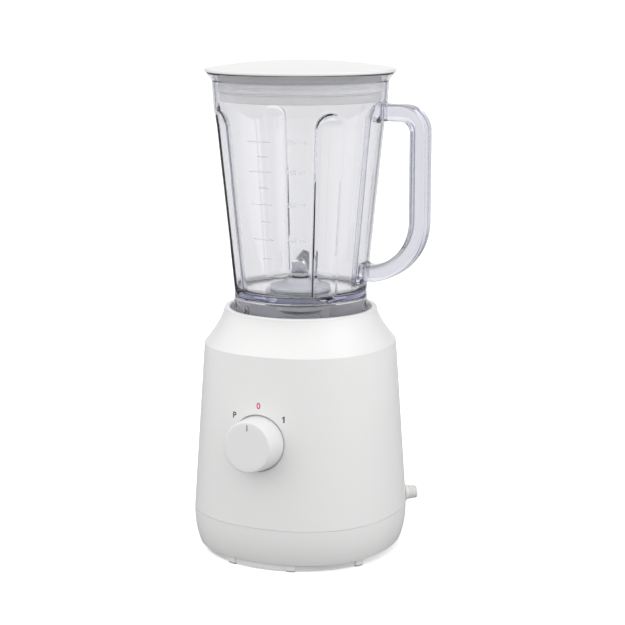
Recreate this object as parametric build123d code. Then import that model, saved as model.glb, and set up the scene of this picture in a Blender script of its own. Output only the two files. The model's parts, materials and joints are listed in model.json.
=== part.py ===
"""Countertop blender: a motor base with a dial, a clear fluted jug with a blade unit, and a push-in lid.

Units are millimetres.  The origin is the centre of the base on the counter, the dial faces -Y, the jug
handle points along +X and +Z is up.  Angles called "bearing" are measured from the front (-Y) towards +X.
"""

import math
import os

from build123d import *

# ---------------------------------------------------------------- driving dimensions
# motor base
foot_height = 1.2            # rubber foot below the stand ring
cover_bottom_z = 6.0         # underside of the bottom cover
seam_z = 33.8                # joint between bottom cover and motor housing
seam_gap = 0.2               # shadow gap at that joint
base_radius = 83.0           # largest plan radius, at the seam
body_draft = 3.9             # degrees the housing wall leans in
squareness = 0.02            # how far the plan departs from a circle, as a share of its radius
shoulder_z = 164.0           # crisp edge where the sloping shoulder starts
base_height = 191.0          # top of the jug seat rim
shell_wall = 2.5             # wall of housing and cover
seat_depth = 24.5            # depth of the jug seat
seat_rim_width = 4.4         # flat top of the seat rim
seat_gap = 3.0               # between jug skirt and seat wall
cover_edge_tuck = 4.2        # how far the cover tucks in at its bottom edge
stand_ring_radius = 76.0     # ring wall under the cover
foot_bearings = (19.0, 60.5, 119.5, 161.0)   # mirrored left and right
side_opening = (62.0, 118.0)                 # bearings without ring wall, both sides

# motor, hung from the seat floor
shaft_radius = 4.0
running_clearance = 0.05     # radial, shafts in bushes
mount_boss_length = 10.0
damper_thickness = 3.0
bracket_thickness = 3.0
bracket_to_stack = 27.0
stack_height = 30.0
rotor_radius = 20.0
air_gap = 0.6
stator_x, stator_y = 80.0, 66.0
bolt_x, bolt_y = 34.0, 27.0
mount_x, mount_y = 22.0, 38.0
commutator_radius = 11.0
fan_radius = 32.0
bush_radius = 8.0

# couplings between motor and blades
clutch_radius = 16.5
dog_inner_radius = 9.5
dog_height = 6.0
dog_width_deg = 26.0
dog_count = 6

# dial
knob_z = 99.0
knob_radius = 20.8
knob_face_radius = 19.3
knob_length = 20.3
knob_wall = 1.8
pocket_depth = 2.4
knob_float = 0.8             # knob skirt above the pocket floor
knob_clearance = 0.9         # radial, knob in its pocket
switch_shaft_radius = 3.0
switch_size = 27.0
switch_depth = 17.0

# cord gland, trapped in the seam
gland_bearing = 128.0
gland_bore_radius = 3.5
gland_root_radius = 5.9
gland_tip_radius = 4.8
gland_reach = 11.0           # beyond the housing wall
gland_flange = 1.4           # inner flange, beyond the gland's root radius

# jug
skirt_radius = 52.0
jug_wall = 2.4
skirt_lift = 0.3             # skirt above the seat floor
skirt_taper = 12.5           # height over which the skirt narrows to the tapered wall
jug_floor_above_seat = 34.0  # underside of the jug floor above the seat floor
jug_floor = 4.0
cone_start_above_floor = 2.8 # where the tapered wall starts, above the floor underside
cone_start_radius = 51.1
cone_height = 127.5
cone_top_radius = 63.9
shoulder_rise = 12.8         # from the taper up to the mouth band
mouth_radius = 66.1
mouth_height = 21.2
mouth_draft = 1.3
rim_rise = 6.3
rim_radius = 71.8
flute_top_radius, flute_top_depth = 12.0, 6.0
flute_bottom_radius, flute_bottom_depth = 10.0, 5.0
spout_radius = 14.0

# handle
handle_reach = 98.0          # centreline from the jug axis
handle_width = 18.0
handle_thickness = 12.6
handle_corner = 2.6
handle_top_bend = 14.0
handle_top_below_rim = 28.6
handle_bottom_above_cone = 17.2
handle_pad = 3.4             # moulded pad on the jug wall
tenon = (3.0, 8.0, 6.0)      # depth, width, height
tenon_clearance = 0.1

# blade unit
blade_shaft_radius = 4.0
neck_radius = 18.6
neck_clearance = 0.3
flange_radius = 24.0
blade_reach = 29.0
blade_thickness = 1.5

# lid
lid_radius = 73.0
lid_edge = 2.2
lid_dome = 6.3
lid_wall = 2.2
lid_gap = 0.3                # lid above the jug rim
plug_depth = 21.6
plug_gap = 1.9               # plug wall to jug wall, filled by the gasket
gasket_gap = 0.3

# ---------------------------------------------------------------- derived heights and radii
seat_floor_z = base_height - seat_depth
seat_under_z = seat_floor_z - shell_wall
seat_radius = skirt_radius + seat_gap
lip_radius = seat_radius + seat_rim_width
shoulder_radius = base_radius - math.tan(math.radians(body_draft)) * (shoulder_z - seam_z)

bracket_top_z = seat_under_z - mount_boss_length - damper_thickness
bracket_under_z = bracket_top_z - bracket_thickness
stack_top_z = bracket_under_z - bracket_to_stack
stack_bottom_z = stack_top_z - stack_height
low_bracket_top_z = stack_bottom_z - bracket_to_stack
low_bracket_under_z = low_bracket_top_z - bracket_thickness
brush_z = low_bracket_top_z + 10.5
shaft_bottom_z = low_bracket_under_z - 20.5

clutch_disc_z = seat_floor_z + 4.0
clutch_disc = 3.5
drive_dogs_top_z = clutch_disc_z + clutch_disc + dog_height + 0.5
driven_disc_z = drive_dogs_top_z + 1.0
driven_top_z = driven_disc_z + clutch_disc

jug_floor_under_z = seat_floor_z + jug_floor_above_seat
jug_floor_top_z = jug_floor_under_z + jug_floor
cone_start_z = jug_floor_under_z + cone_start_above_floor
cone_top_z = cone_start_z + cone_height
mouth_z = cone_top_z + shoulder_rise
mouth_top_z = mouth_z + mouth_height
rim_z = mouth_top_z + rim_rise
skirt_bottom_z = seat_floor_z + skirt_lift

C, MIN = Align.CENTER, Align.MIN


# ---------------------------------------------------------------- small helpers
def rod(radius, z0, z1, x=0.0, y=0.0):
    """Upright cylinder between two heights."""
    return Pos(x, y, z0) * Cylinder(radius, z1 - z0, align=(C, C, MIN))


def ring(outer, inner, z0, z1, x=0.0, y=0.0):
    return rod(outer, z0, z1, x, y) - rod(inner, z0, z1, x, y)


def block(size_x, size_y, z0, z1, x=0.0, y=0.0):
    return Pos(x, y, z0) * Box(size_x, size_y, z1 - z0, align=(C, C, MIN))


def turned(*points):
    """Solid of revolution about Z from (radius, z) points."""
    return revolve(make_face(Plane.XZ * Polyline(*points, close=True)), Axis.Z)


def at_bearing(bearing):
    """Turns a shape built along +X to a bearing from the front."""
    return Rot(0, 0, bearing - 90)


def group(shapes):
    """Separate identical solids kept together in one node."""
    return Compound(children=[s for shape in shapes for s in shape.solids()])


def four(x, y):
    return [(sx * x, sy * y) for sx in (-1, 1) for sy in (-1, 1)]


def sector(inner, outer, z0, z1, width_deg, centre_deg):
    """Part of a ring between two heights, centred on an angle from +X."""
    half = math.radians(width_deg / 2)
    far = 2 * outer / math.cos(half)
    wedge = make_face(Polyline((0, 0), (far * math.cos(half), -far * math.sin(half)),
                               (far * math.cos(half), far * math.sin(half)), close=True))
    body = ring(outer, inner, z0, z1) & (Pos(0, 0, z0) * extrude(wedge, z1 - z0))
    return Rot(0, 0, centre_deg) * body


def hex_nut(across_flats, hole_radius, z0, z1, x=0.0, y=0.0):
    body = Pos(x, y, z0) * extrude(RegularPolygon(across_flats / 2, 6, major_radius=False), z1 - z0)
    return body - rod(hole_radius, z0, z1, x, y)


# ---------------------------------------------------------------- base plan: a rounded square
def plan(radius, z, square=squareness):
    """Closed outline of the base at a height: flats face front, back and sides."""
    if square <= 0:
        return Pos(0, 0, z) * Circle(radius)
    count = 24
    points = []
    for i in range(count):
        angle = 2 * math.pi * i / count
        r = radius * (1 - square * math.cos(4 * angle))
        points.append((r * math.cos(angle), r * math.sin(angle)))
    return Pos(0, 0, z) * make_face(Spline(*points, periodic=True))


def wall_radius(z):
    """Plan radius of the housing wall's outer face at a height."""
    return base_radius - math.tan(math.radians(body_draft)) * (z - seam_z)


def wall_point(z, bearing):
    """Distance from the axis to the wall's outer face at a height and bearing."""
    return wall_radius(z) * (1 - squareness * math.cos(4 * math.radians(bearing)))


def tapered(z0, z1, inset):
    """The housing's wall volume between two heights, pulled in by inset."""
    return loft([plan(wall_radius(z0) - inset, z0), plan(wall_radius(z1) - inset, z1)], ruled=True)


shoulder_top_z = base_height - 1.6


def shoulder(share, inset=0.0, drop=0.0):
    """Outline of the concave shoulder, from its crisp edge (0) to the seat rim (1)."""
    radius = lip_radius + (shoulder_radius - lip_radius) * (1 - share) ** 1.4
    z = shoulder_z + share * (shoulder_top_z - shoulder_z)
    return plan(radius - inset, z - drop, squareness * (1 - share))


def cover_section(share, inset=0.0):
    """Outline of the bottom cover's rounded flank, from its bottom edge (0) to the seam (1)."""
    top = seam_z - seam_gap / 2
    radius = base_radius - cover_edge_tuck * (1 - share) ** 2.6
    return plan(radius - inset, cover_bottom_z + share * (top - cover_bottom_z))


# the dial stands square to the sloping front wall
dial = Plane(origin=(0, -wall_point(knob_z, 0), knob_z), x_dir=(1, 0, 0),
             z_dir=(0, -math.cos(math.radians(body_draft)), math.sin(math.radians(body_draft))))
gland_wall = wall_point(seam_z, gland_bearing)
gland_neck = gland_root_radius - 1.1
gland_inside = gland_wall - shell_wall - 1.2
pocket_radius = knob_radius + knob_clearance
cover_screw_r = (base_radius - 18.0) / math.sqrt(2)
cover_screw_head_z = seam_z - 9.0
boss_bottom_z = seam_z - 2.8


def on_dial(shape, depth=0.0):
    """Places a shape built along +Z on the dial axis, depth outwards from the wall face."""
    return dial.location * (Pos(0, 0, depth) * shape)


def stub(radius, start, length):
    return Pos(0, 0, start) * Cylinder(radius, length, align=(C, C, MIN))


def along_gland(radius, start, end, end_radius=None):
    """Round bar along the gland axis, between two distances from the base axis."""
    tip = radius if end_radius is None else end_radius
    bar = (Cylinder(radius, end - start, align=(C, C, MIN)) if tip == radius
           else Cone(radius, tip, end - start, align=(C, C, MIN)))
    return at_bearing(gland_bearing) * (Pos(start, 0, seam_z) * (Rot(0, 90, 0) * bar))


# ---------------------------------------------------------------- base shells
def motor_housing():
    bottom = seam_z + seam_gap / 2
    shares = (0, 0.2, 0.42, 0.72, 1)
    inner_shares = (0, 0.2, 0.42, 0.76)
    body = tapered(bottom, shoulder_z, 0) + loft([shoulder(s) for s in shares])
    lip = ring(lip_radius, seat_radius, shoulder_top_z, base_height)
    lip = fillet(lip.edges().group_by(Axis.Z)[-1], 1.0)
    cavity_edge_z = shoulder_z - shell_wall * 0.5
    cavity = tapered(bottom, cavity_edge_z, shell_wall)
    cavity += loft([shoulder(s, shell_wall, shell_wall * 0.5) for s in inner_shares])
    cup = rod(seat_radius + shell_wall, seat_under_z, shoulder_top_z)
    bosses = [rod(5.0, seat_under_z - mount_boss_length, seat_under_z, x, y)
              for x, y in four(mount_x, mount_y)]
    pad = on_dial(stub(pocket_radius + 2.5, -shell_wall - 4.5, shell_wall + 4.5))
    pad = pad & tapered(bottom, cavity_edge_z, 0.2)
    boss_top = seam_z + 13.0
    screw_bosses = []
    for x, y in four(cover_screw_r, cover_screw_r):
        turn = math.degrees(math.atan2(y, x))
        web = Rot(0, 0, turn) * Pos(base_radius - 10, 0, bottom) * Box(24, 3, 12.5, align=(C, C, MIN))
        web = web & tapered(bottom, boss_top, 0.3)
        screw_bosses.append(rod(5.0, boss_bottom_z, boss_top, x, y) + web)
    shell = (body - cavity) + lip + cup + bosses + pad + screw_bosses
    shell -= rod(seat_radius, seat_floor_z, base_height)
    ribs = [Rot(0, 0, 90 * i) * block(seat_gap + 1.6, 6.0, seat_floor_z, base_height - 10,
                                      seat_radius - seat_gap / 2) for i in range(4)]
    collar = rod(16.5, seat_floor_z, seat_floor_z + 3.0)
    shell += [r & rod(seat_radius + 0.5, seat_floor_z, base_height) for r in ribs]
    shell = shell + collar - rod(14.0, seat_under_z, seat_floor_z + 3.0)
    for x, y in four(mount_x, mount_y):
        shell -= rod(1.8, seat_under_z - mount_boss_length, seat_under_z + 0.5, x, y)
    for x, y in four(cover_screw_r, cover_screw_r):
        shell -= rod(1.8, boss_bottom_z, boss_top - 2, x, y)
    shell -= on_dial(stub(pocket_radius, -pocket_depth, 12))
    shell -= on_dial(stub(5.0, -15, 15))
    return shell - gland_cut()


def bottom_cover():
    shares = (0, 0.12, 0.32, 0.6, 1)
    top = seam_z - seam_gap / 2
    plate_top = cover_bottom_z + shell_wall
    body = loft([cover_section(s) for s in shares])
    hollow = loft([cover_section(s, shell_wall) for s in shares])
    body -= hollow & block(300, 300, plate_top, top)
    tongue_low, tongue_top = top - 3.0, seam_z + 3.0
    inset = shell_wall + 0.25
    tongue = tapered(tongue_low, tongue_top, inset) - tapered(tongue_low, tongue_top, inset + 1.3)
    tongue_root = tapered(tongue_low, top - 0.5, shell_wall - 0.4) - tapered(tongue_low, top - 0.5, inset + 1.3)
    body += [tongue, tongue_root]
    for x, y in four(cover_screw_r, cover_screw_r):
        body -= rod(5.3, boss_bottom_z, tongue_top, x, y)
        turn = math.degrees(math.atan2(y, x))
        body -= Rot(0, 0, turn) * Pos(base_radius - 10, 0, top + 0.2) * Box(26, 3.6, 12, align=(C, C, MIN))
        body += rod(5.0, plate_top, boss_bottom_z, x, y)
        body -= rod(3.6, cover_bottom_z, cover_screw_head_z, x, y)
        body -= rod(1.9, cover_screw_head_z, boss_bottom_z, x, y)
    opening = side_opening[1] - side_opening[0]
    wall_span = 180 - opening
    for bearing in (0, 180):
        body += sector(stand_ring_radius - 2.4, stand_ring_radius, foot_height, cover_bottom_z + 0.5,
                       wall_span, bearing - 90)
    for bearing in foot_places():
        lug = block(7.0, 7.0, foot_height, cover_bottom_z + 0.5, stand_ring_radius - 2.5)
        body += at_bearing(bearing) * lug
    for bearing in foot_places():
        body -= at_bearing(bearing) * rod(1.5, foot_height, 5.4, stand_ring_radius - 2.5)
    for i in range(-4, 5):
        length = 2 * math.sqrt(32.0 ** 2 - (i * 7.0) ** 2)
        slot = Pos(0, 0, cover_bottom_z - 1) * extrude(SlotOverall(length, 3.2), shell_wall + 2)
        body -= Pos(0, i * 7.0, 0) * slot
    for side in (-1, 1):
        body += at_bearing(gland_bearing) * rod(3.6, plate_top, clamp_z, clamp_r, side * 9.0)
        body -= at_bearing(gland_bearing) * rod(1.3, plate_top + 1, clamp_z, clamp_r, side * 9.0)
    return body - gland_cut()


def foot_places():
    return [side * bearing for bearing in foot_bearings for side in (-1, 1)]


clamp_r = base_radius - 31.0
clamp_z = seam_z - 4.2


def rubber_feet():
    place = stand_ring_radius - 2.5
    pad = block(7.0, 7.0, 0, foot_height, place)
    pad = fillet(pad.edges().filter_by(Axis.Z), 1.5)
    foot = pad + rod(1.4, foot_height, 5.2, place)
    return group(at_bearing(b) * foot for b in foot_places())


def cover_screws():
    screws = []
    for x, y in four(cover_screw_r, cover_screw_r):
        head = rod(3.3, cover_screw_head_z - 2.4, cover_screw_head_z, x, y)
        head -= block(1.0, 4.4, cover_screw_head_z - 2.4, cover_screw_head_z - 1.2, x, y)
        head -= block(4.4, 1.0, cover_screw_head_z - 2.4, cover_screw_head_z - 1.2, x, y)
        screws.append(head + rod(1.7, cover_screw_head_z, seam_z + 9.5, x, y))
    return group(screws)


def gland_cut():
    """Half-round notches for the gland's neck, and room for its inner flange."""
    neck = along_gland(gland_neck + 0.1, gland_inside - 8, gland_wall + 12)
    return neck + along_gland(gland_root_radius + gland_flange + 0.3, gland_inside - 8, gland_inside + 0.05)


def cord_gland():
    """Tapered strain relief whose neck is trapped between housing and cover."""
    inside = gland_inside
    body = along_gland(gland_root_radius + gland_flange, inside - 2.6, inside)
    body += along_gland(gland_neck, inside, gland_wall + 1.0)
    body += along_gland(gland_root_radius + 0.9, gland_wall + 0.6, gland_wall + 2.2)
    body += along_gland(gland_root_radius, gland_wall + 2.2, gland_wall + gland_reach, gland_tip_radius)
    return body - along_gland(gland_bore_radius, inside - 4, gland_wall + gland_reach + 1)


def cord_clamp():
    bar = block(7.0, 25.0, clamp_z, clamp_z + 3.4, clamp_r)
    bar -= Pos(clamp_r, 0, seam_z) * (Rot(0, 90, 0) * Cylinder(gland_bore_radius, 12))
    for side in (-1, 1):
        bar -= rod(1.5, clamp_z, clamp_z + 3.4, clamp_r, side * 9.0)
    return at_bearing(gland_bearing) * bar


def clamp_screws():
    screws = []
    for side in (-1, 1):
        screw = rod(2.6, clamp_z + 3.4, clamp_z + 5.2, clamp_r, side * 9.0)
        screw += rod(1.2, clamp_z - 9, clamp_z + 3.4, clamp_r, side * 9.0)
        screws.append(at_bearing(gland_bearing) * screw)
    return group(screws)


# ---------------------------------------------------------------- dial and switch
panel_inner = -shell_wall - 4.5          # inner face of the backed panel, along the dial axis
pointer_length = 4.8
pointer_place = knob_face_radius - 4.8   # middle of the pointer above the knob's axis


def control_knob():
    base = knob_float - pocket_depth
    outer = Pos(0, 0, base) * Cone(knob_radius, knob_face_radius, knob_length, align=(C, C, MIN))
    outer = fillet(outer.edges().group_by(Axis.Z)[-1], 1.3)
    hollow = Pos(0, 0, base) * Cone(knob_radius - knob_wall, knob_face_radius - knob_wall,
                                    knob_length - 2.2, align=(C, C, MIN))
    face = base + knob_length
    hub = stub(switch_shaft_radius + 2.4, face - 13.0, 11.5)
    bore = stub(switch_shaft_radius + 0.02, face - 13.0, 9.0)
    body = outer - hollow + hub - bore
    mark = Pos(0, pointer_place, face - 0.6) * Box(1.3, pointer_length + 0.1, 2, align=(C, C, MIN))
    return on_dial(body - mark)


def knob_pointer():
    face = knob_float - pocket_depth + knob_length
    return on_dial(Pos(0, pointer_place, face - 0.58) * Box(1.2, pointer_length, 0.46, align=(C, C, MIN)))


def rotary_switch():
    body = Pos(0, 0, panel_inner - 0.2 - switch_depth) * Box(switch_size, switch_size, switch_depth,
                                                           align=(C, C, MIN))
    body = fillet(body.edges().filter_by(Axis.Z), 2.0)
    bush = stub(4.6, panel_inner - 0.2, -panel_inner - pocket_depth + 4.2)
    bore = stub(switch_shaft_radius + running_clearance, panel_inner - switch_depth + 4, 40)
    return on_dial(body + bush - bore)


def switch_nut():
    nut = extrude(RegularPolygon(6.5, 6, major_radius=False), 2.2) - Cylinder(4.65, 10)
    return on_dial(nut, -pocket_depth + 0.05)


def switch_shaft():
    start = panel_inner - switch_depth + 5
    end = knob_float - pocket_depth + knob_length - 4.2
    return on_dial(stub(switch_shaft_radius, start, end - start))


def switch_terminals():
    back = panel_inner - 0.2 - switch_depth
    return group(on_dial(Pos(x, 0, back - 7) * Box(0.8, 6.3, 7, align=(C, C, MIN))) for x in (-8, 0, 8))


# ---------------------------------------------------------------- motor
def field_core():
    outline = RectangleRounded(stator_x, stator_y, 8)
    outline -= RectangleRounded(stator_x - 20, stator_y - 20, 6)
    core = extrude(outline, stack_height)
    bore = rotor_radius + air_gap
    for side in (0, 180):
        neck = Pos(stator_x / 2 - 13, 0, 0) * Box(10, 22, stack_height, align=(C, C, MIN))
        core += Rot(0, 0, side) * neck
        core += sector(bore, bore + 4, 0, stack_height, 112, side)
    core -= rod(bore, 0, stack_height)
    for x, y in four(bolt_x, bolt_y):
        core -= rod(2.2, 0, stack_height, x, y)
    return Pos(0, 0, stack_bottom_z) * core


def field_coils():
    coils = []
    middle = (stack_top_z + stack_bottom_z) / 2
    for side in (-1, 1):
        loop = RectangleRounded(38, stack_height + 15, 6) - RectangleRounded(22.6, stack_height + 1, 0.8)
        coil = extrude(loop, 4.4)
        place = Plane(origin=(side * (rotor_radius + air_gap + 4.4), 0, middle), x_dir=(0, 1, 0),
                      z_dir=(side, 0, 0))
        coils.append(place.location * coil)
    return group(coils)


def bracket_plate(size_x, size_y, z0, leg_z0, leg_z1, cup_z0, cup_z1):
    """Cast end bracket: plate, four legs to the stator and a cup for the shaft bush."""
    plate = Pos(0, 0, z0) * extrude(RectangleRounded(size_x, size_y, 8), bracket_thickness)
    for x, y in four(20, 14):
        plate -= rod(6, z0, z0 + bracket_thickness, x, y)
    plate += [rod(4.5, leg_z0, leg_z1, x, y) for x, y in four(bolt_x, bolt_y)]
    plate += rod(bush_radius + 3, cup_z0, cup_z1)
    plate -= rod(bush_radius, cup_z0, cup_z1)
    for x, y in four(bolt_x, bolt_y):
        plate -= rod(2.2, min(z0, leg_z0), max(leg_z1, z0 + bracket_thickness), x, y)
    return plate


def upper_bracket():
    part = bracket_plate(stator_x + 2, 2 * mount_y + 11, bracket_under_z, stack_top_z, bracket_under_z,
                         bracket_under_z - 4, bracket_top_z + 3)
    for x, y in four(mount_x, mount_y):
        part -= rod(2.0, bracket_under_z, bracket_top_z, x, y)
    return part


def lower_bracket():
    part = bracket_plate(stator_x, stator_y, low_bracket_under_z, low_bracket_top_z, stack_bottom_z,
                         low_bracket_under_z - 4, low_bracket_top_z)
    pedestals = [block(20, 12, low_bracket_under_z, brush_z - 5.2, side * 25) for side in (-1, 1)]
    for pedestal in pedestals:
        part += pedestal
    return part


def bush(z0, z1, shaft, outer):
    body = ring(outer, shaft + running_clearance, z0, z1)
    return body


def upper_bush():
    return bush(bracket_under_z - 3, bracket_top_z + 2, shaft_radius, bush_radius)


def lower_bush():
    return bush(low_bracket_under_z - 3, low_bracket_top_z - 0.5, shaft_radius, bush_radius)


def motor_bolts():
    bolts = []
    for x, y in four(bolt_x, bolt_y):
        bolt = rod(3.4, low_bracket_under_z - 2.8, low_bracket_under_z, x, y)
        bolts.append(bolt + rod(2.0, low_bracket_under_z, bracket_top_z + 4.5, x, y))
    return group(bolts)


def motor_nuts():
    return group(hex_nut(7, 2.02, bracket_top_z, bracket_top_z + 3.2, x, y) for x, y in four(bolt_x, bolt_y))


def motor_dampers():
    return group(ring(6.5, 2.4, bracket_top_z, bracket_top_z + damper_thickness, x, y)
                 for x, y in four(mount_x, mount_y))


def mount_screws():
    screws = []
    for x, y in four(mount_x, mount_y):
        head = rod(3.6, bracket_under_z - 2.6, bracket_under_z, x, y)
        screws.append(head + rod(1.7, bracket_under_z, seat_under_z - 1.5, x, y))
    return group(screws)


def brush_holders():
    holders = []
    for side in (-1, 1):
        tube = Box(22, 7.6, 9.6) - Box(22, 5.4, 7.4)
        cap = Pos(10.5 * side, 0, 0) * Box(1.2, 7.6, 9.6)
        holders.append(Pos(side * (commutator_radius + 13.0), 0, brush_z) * (tube + cap))
    return group(holders)


def carbon_brushes():
    contact = commutator_radius + 0.3
    blocks = []
    for side in (-1, 1):
        length = 13.0
        brush = Pos(side * (contact - 0.6 + length / 2), 0, brush_z) * Box(length, 5.0, 7.0)
        blocks.append(brush - rod(contact, brush_z - 5, brush_z + 5))
    return group(blocks)


def brush_springs():
    """Compression springs between brush and holder cap."""
    start = commutator_radius + 0.3 - 0.6 + 13.0 + 0.4
    end = commutator_radius + 13.0 + 9.9 - 0.5
    wire = 0.35
    springs = []
    for side in (-1, 1):
        path = Helix(pitch=(end - start) / 5, height=end - start, radius=1.9)
        coil = sweep(Plane(path @ 0, z_dir=path % 0) * Circle(wire), path, is_frenet=True)
        turn = Rot(0, 90, 0) if side > 0 else Rot(0, -90, 0)
        springs.append(Pos(side * start, 0, brush_z) * (turn * coil))
    return group(springs)


def motor_shaft():
    return rod(shaft_radius, shaft_bottom_z, clutch_disc_z + clutch_disc + 1.0)


def armature_core():
    body = rod(rotor_radius, stack_bottom_z, stack_top_z)
    for i in range(12):
        slot = block(8.0, 4.0, stack_bottom_z, stack_top_z, rotor_radius - 6.5)
        mouth = block(6.0, 1.4, stack_bottom_z, stack_top_z, rotor_radius)
        body -= Rot(0, 0, 30 * i) * (slot + mouth)
    return body - rod(shaft_radius + 0.02, stack_bottom_z, stack_top_z)


def armature_windings():
    inner, outer = shaft_radius + 2.5, rotor_radius - 2.6
    top = ring(outer, inner, stack_top_z + 0.3, stack_top_z + 9)
    bottom = ring(outer, inner, stack_bottom_z - 8, stack_bottom_z - 0.3)
    top = fillet(top.edges().filter_by(GeomType.CIRCLE).group_by(Axis.Z)[-1], 3.5)
    bottom = fillet(bottom.edges().filter_by(GeomType.CIRCLE).group_by(Axis.Z)[0], 3.5)
    body = top + bottom
    for i in range(12):
        bar = block(7.4, 3.5, stack_bottom_z - 1, stack_top_z + 1, rotor_radius - 6.5)
        body += Rot(0, 0, 30 * i) * bar
    return body


def commutator():
    low, high = brush_z - 6, brush_z + 6
    body = ring(commutator_radius, shaft_radius + 0.02, low, high)
    body += ring(commutator_radius + 1.2, commutator_radius - 1, high - 1.6, high)
    for i in range(24):
        body -= Rot(0, 0, 15 * i + 7.5) * block(2.0, 0.5, low, high, commutator_radius + 0.6)
    return body


def cooling_fan():
    low = shaft_bottom_z + 2
    body = rod(fan_radius, low + 9, low + 10.5) + rod(shaft_radius + 4, low, low + 10.5)
    for i in range(9):
        vane = Pos(shaft_radius + 3 + (fan_radius - shaft_radius - 4) / 2, 0, low) * Box(
            fan_radius - shaft_radius - 4, 1.4, 9.5, align=(C, C, MIN))
        body += Rot(0, 0, 40 * i) * (Pos(0, 4, 0) * vane)
    body = body & rod(fan_radius, low, low + 11)
    return body - rod(shaft_radius + 0.02, low, low + 11)


def dogs(z0, z1, offset):
    return [sector(dog_inner_radius, clutch_radius, z0, z1, dog_width_deg, i * 360 / dog_count + offset)
            for i in range(dog_count)]


def drive_coupling():
    disc_top = clutch_disc_z + clutch_disc
    body = rod(shaft_radius + 4, seat_floor_z - 6, clutch_disc_z) + rod(clutch_radius, clutch_disc_z, disc_top)
    body += dogs(disc_top, drive_dogs_top_z, 0)
    return body - rod(shaft_radius + 0.02, seat_floor_z - 6, disc_top)


def splash_seal():
    """Rubber ring in the seat collar that keeps spills off the motor."""
    hub = shaft_radius + 4 + 0.3
    return turned((13.95, seat_under_z), (13.95, seat_floor_z + 2.6), (hub + 2, seat_floor_z + 2.6),
                  (hub, seat_floor_z + 3.6), (hub, seat_floor_z + 1.4), (hub + 2.2, seat_under_z))


def noise_capacitor():
    plate_top = cover_bottom_z + shell_wall
    body = block(18, 9, plate_top, plate_top + 14, -(base_radius - 36), 22)
    return fillet(body.edges().filter_by(Axis.Z), 1.5)


# ---------------------------------------------------------------- jug
def cone_radius(z):
    """Outer radius of the jug's tapered wall."""
    share = (z - cone_start_z) / cone_height
    return cone_start_radius + share * (cone_top_radius - cone_start_radius)


def jug_outline(inset):
    """Right half of the jug above its floor line, as (radius, z) corners, pulled in by inset."""
    return [(cone_start_radius - inset, cone_start_z), (cone_top_radius - inset, cone_top_z),
            (mouth_radius - inset, mouth_z), (mouth_radius + mouth_draft - inset, mouth_top_z),
            (rim_radius - inset, rim_z)]


def flute(extra, bottom_z):
    """Round-ended groove cutter at one diagonal, fattened by extra."""
    r_top, r_low = flute_top_radius, flute_bottom_radius
    x_top = cone_radius(cone_top_z) + r_top - flute_top_depth
    x_low = cone_radius(cone_start_z) + r_low - flute_bottom_depth
    slope = (x_top - x_low) / cone_height
    narrowing = (r_top - r_low) / cone_height
    drop = cone_start_z - bottom_z
    low = Pos(x_low - slope * drop, 0, bottom_z) * Circle(r_low - narrowing * drop + extra)
    high = Pos(x_top, 0, cone_top_z) * Circle(r_top + extra)
    return loft([low, high]) + Pos(x_top, 0, cone_top_z) * Sphere(r_top + extra)


def jug():
    outer = turned((0, skirt_bottom_z), (skirt_radius, skirt_bottom_z), (skirt_radius, cone_start_z - skirt_taper),
                   *jug_outline(0), (0, rim_z))
    cavity = turned((0, jug_floor_top_z), (cone_radius(jug_floor_top_z) - jug_wall, jug_floor_top_z),
                    *jug_outline(jug_wall)[1:], (0, rim_z))
    cavity = fillet(cavity.edges().filter_by(GeomType.CIRCLE).group_by(Axis.Z)[0], 5.0)
    under = rod(skirt_radius - jug_wall, skirt_bottom_z, jug_floor_under_z)
    spout_x = -(rim_radius + 1.5 - spout_radius)
    spout = Pos(spout_x, 0, rim_z - 2) * Sphere(spout_radius)
    spout_hollow = Pos(spout_x, 0, rim_z - 2) * Sphere(spout_radius - 2.0)
    outer += spout & rod(rim_radius + 10, rim_z - 12, rim_z)
    for i in range(4):
        outer -= Rot(0, 0, 45 + 90 * i) * flute(0, cone_start_z)
    cavity += spout_hollow & rod(rim_radius + 10, rim_z - 11, rim_z)
    for i in range(4):
        cavity -= Rot(0, 0, 45 + 90 * i) * flute(jug_wall, jug_floor_top_z)
    pads = block(handle_end_top - 50, handle_width + 3, handle_top_z - 8, handle_top_z + 8,
                 (handle_end_top + 50) / 2)
    pads += block(handle_end_low - 40, handle_width + 3, handle_low_z - 8, handle_low_z + 8,
                  (handle_end_low + 40) / 2)
    body = outer + pads - cavity - under
    body -= rod(neck_radius + neck_clearance, jug_floor_under_z, jug_floor_top_z)
    for end, z in ((handle_end_top, handle_top_z), (handle_end_low, handle_low_z)):
        body -= tenon_block(end, z, tenon_clearance)
    for i in range(4):
        body -= Rot(0, 0, 90 * i) * block(10, 7.0, skirt_bottom_z, base_height - 9.5, skirt_radius)
    return body


# ---------------------------------------------------------------- handle
handle_top_z = rim_z - handle_top_below_rim
handle_low_z = cone_start_z + handle_bottom_above_cone
handle_end_top = mouth_radius + handle_pad
handle_end_low = cone_radius(handle_low_z) + handle_pad + 0.6


def tenon_block(end, z, grow):
    depth, width, height = tenon
    return Pos(end - depth / 2, 0, z) * Box(depth + 2 * grow, width + 2 * grow, height + 2 * grow)


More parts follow.
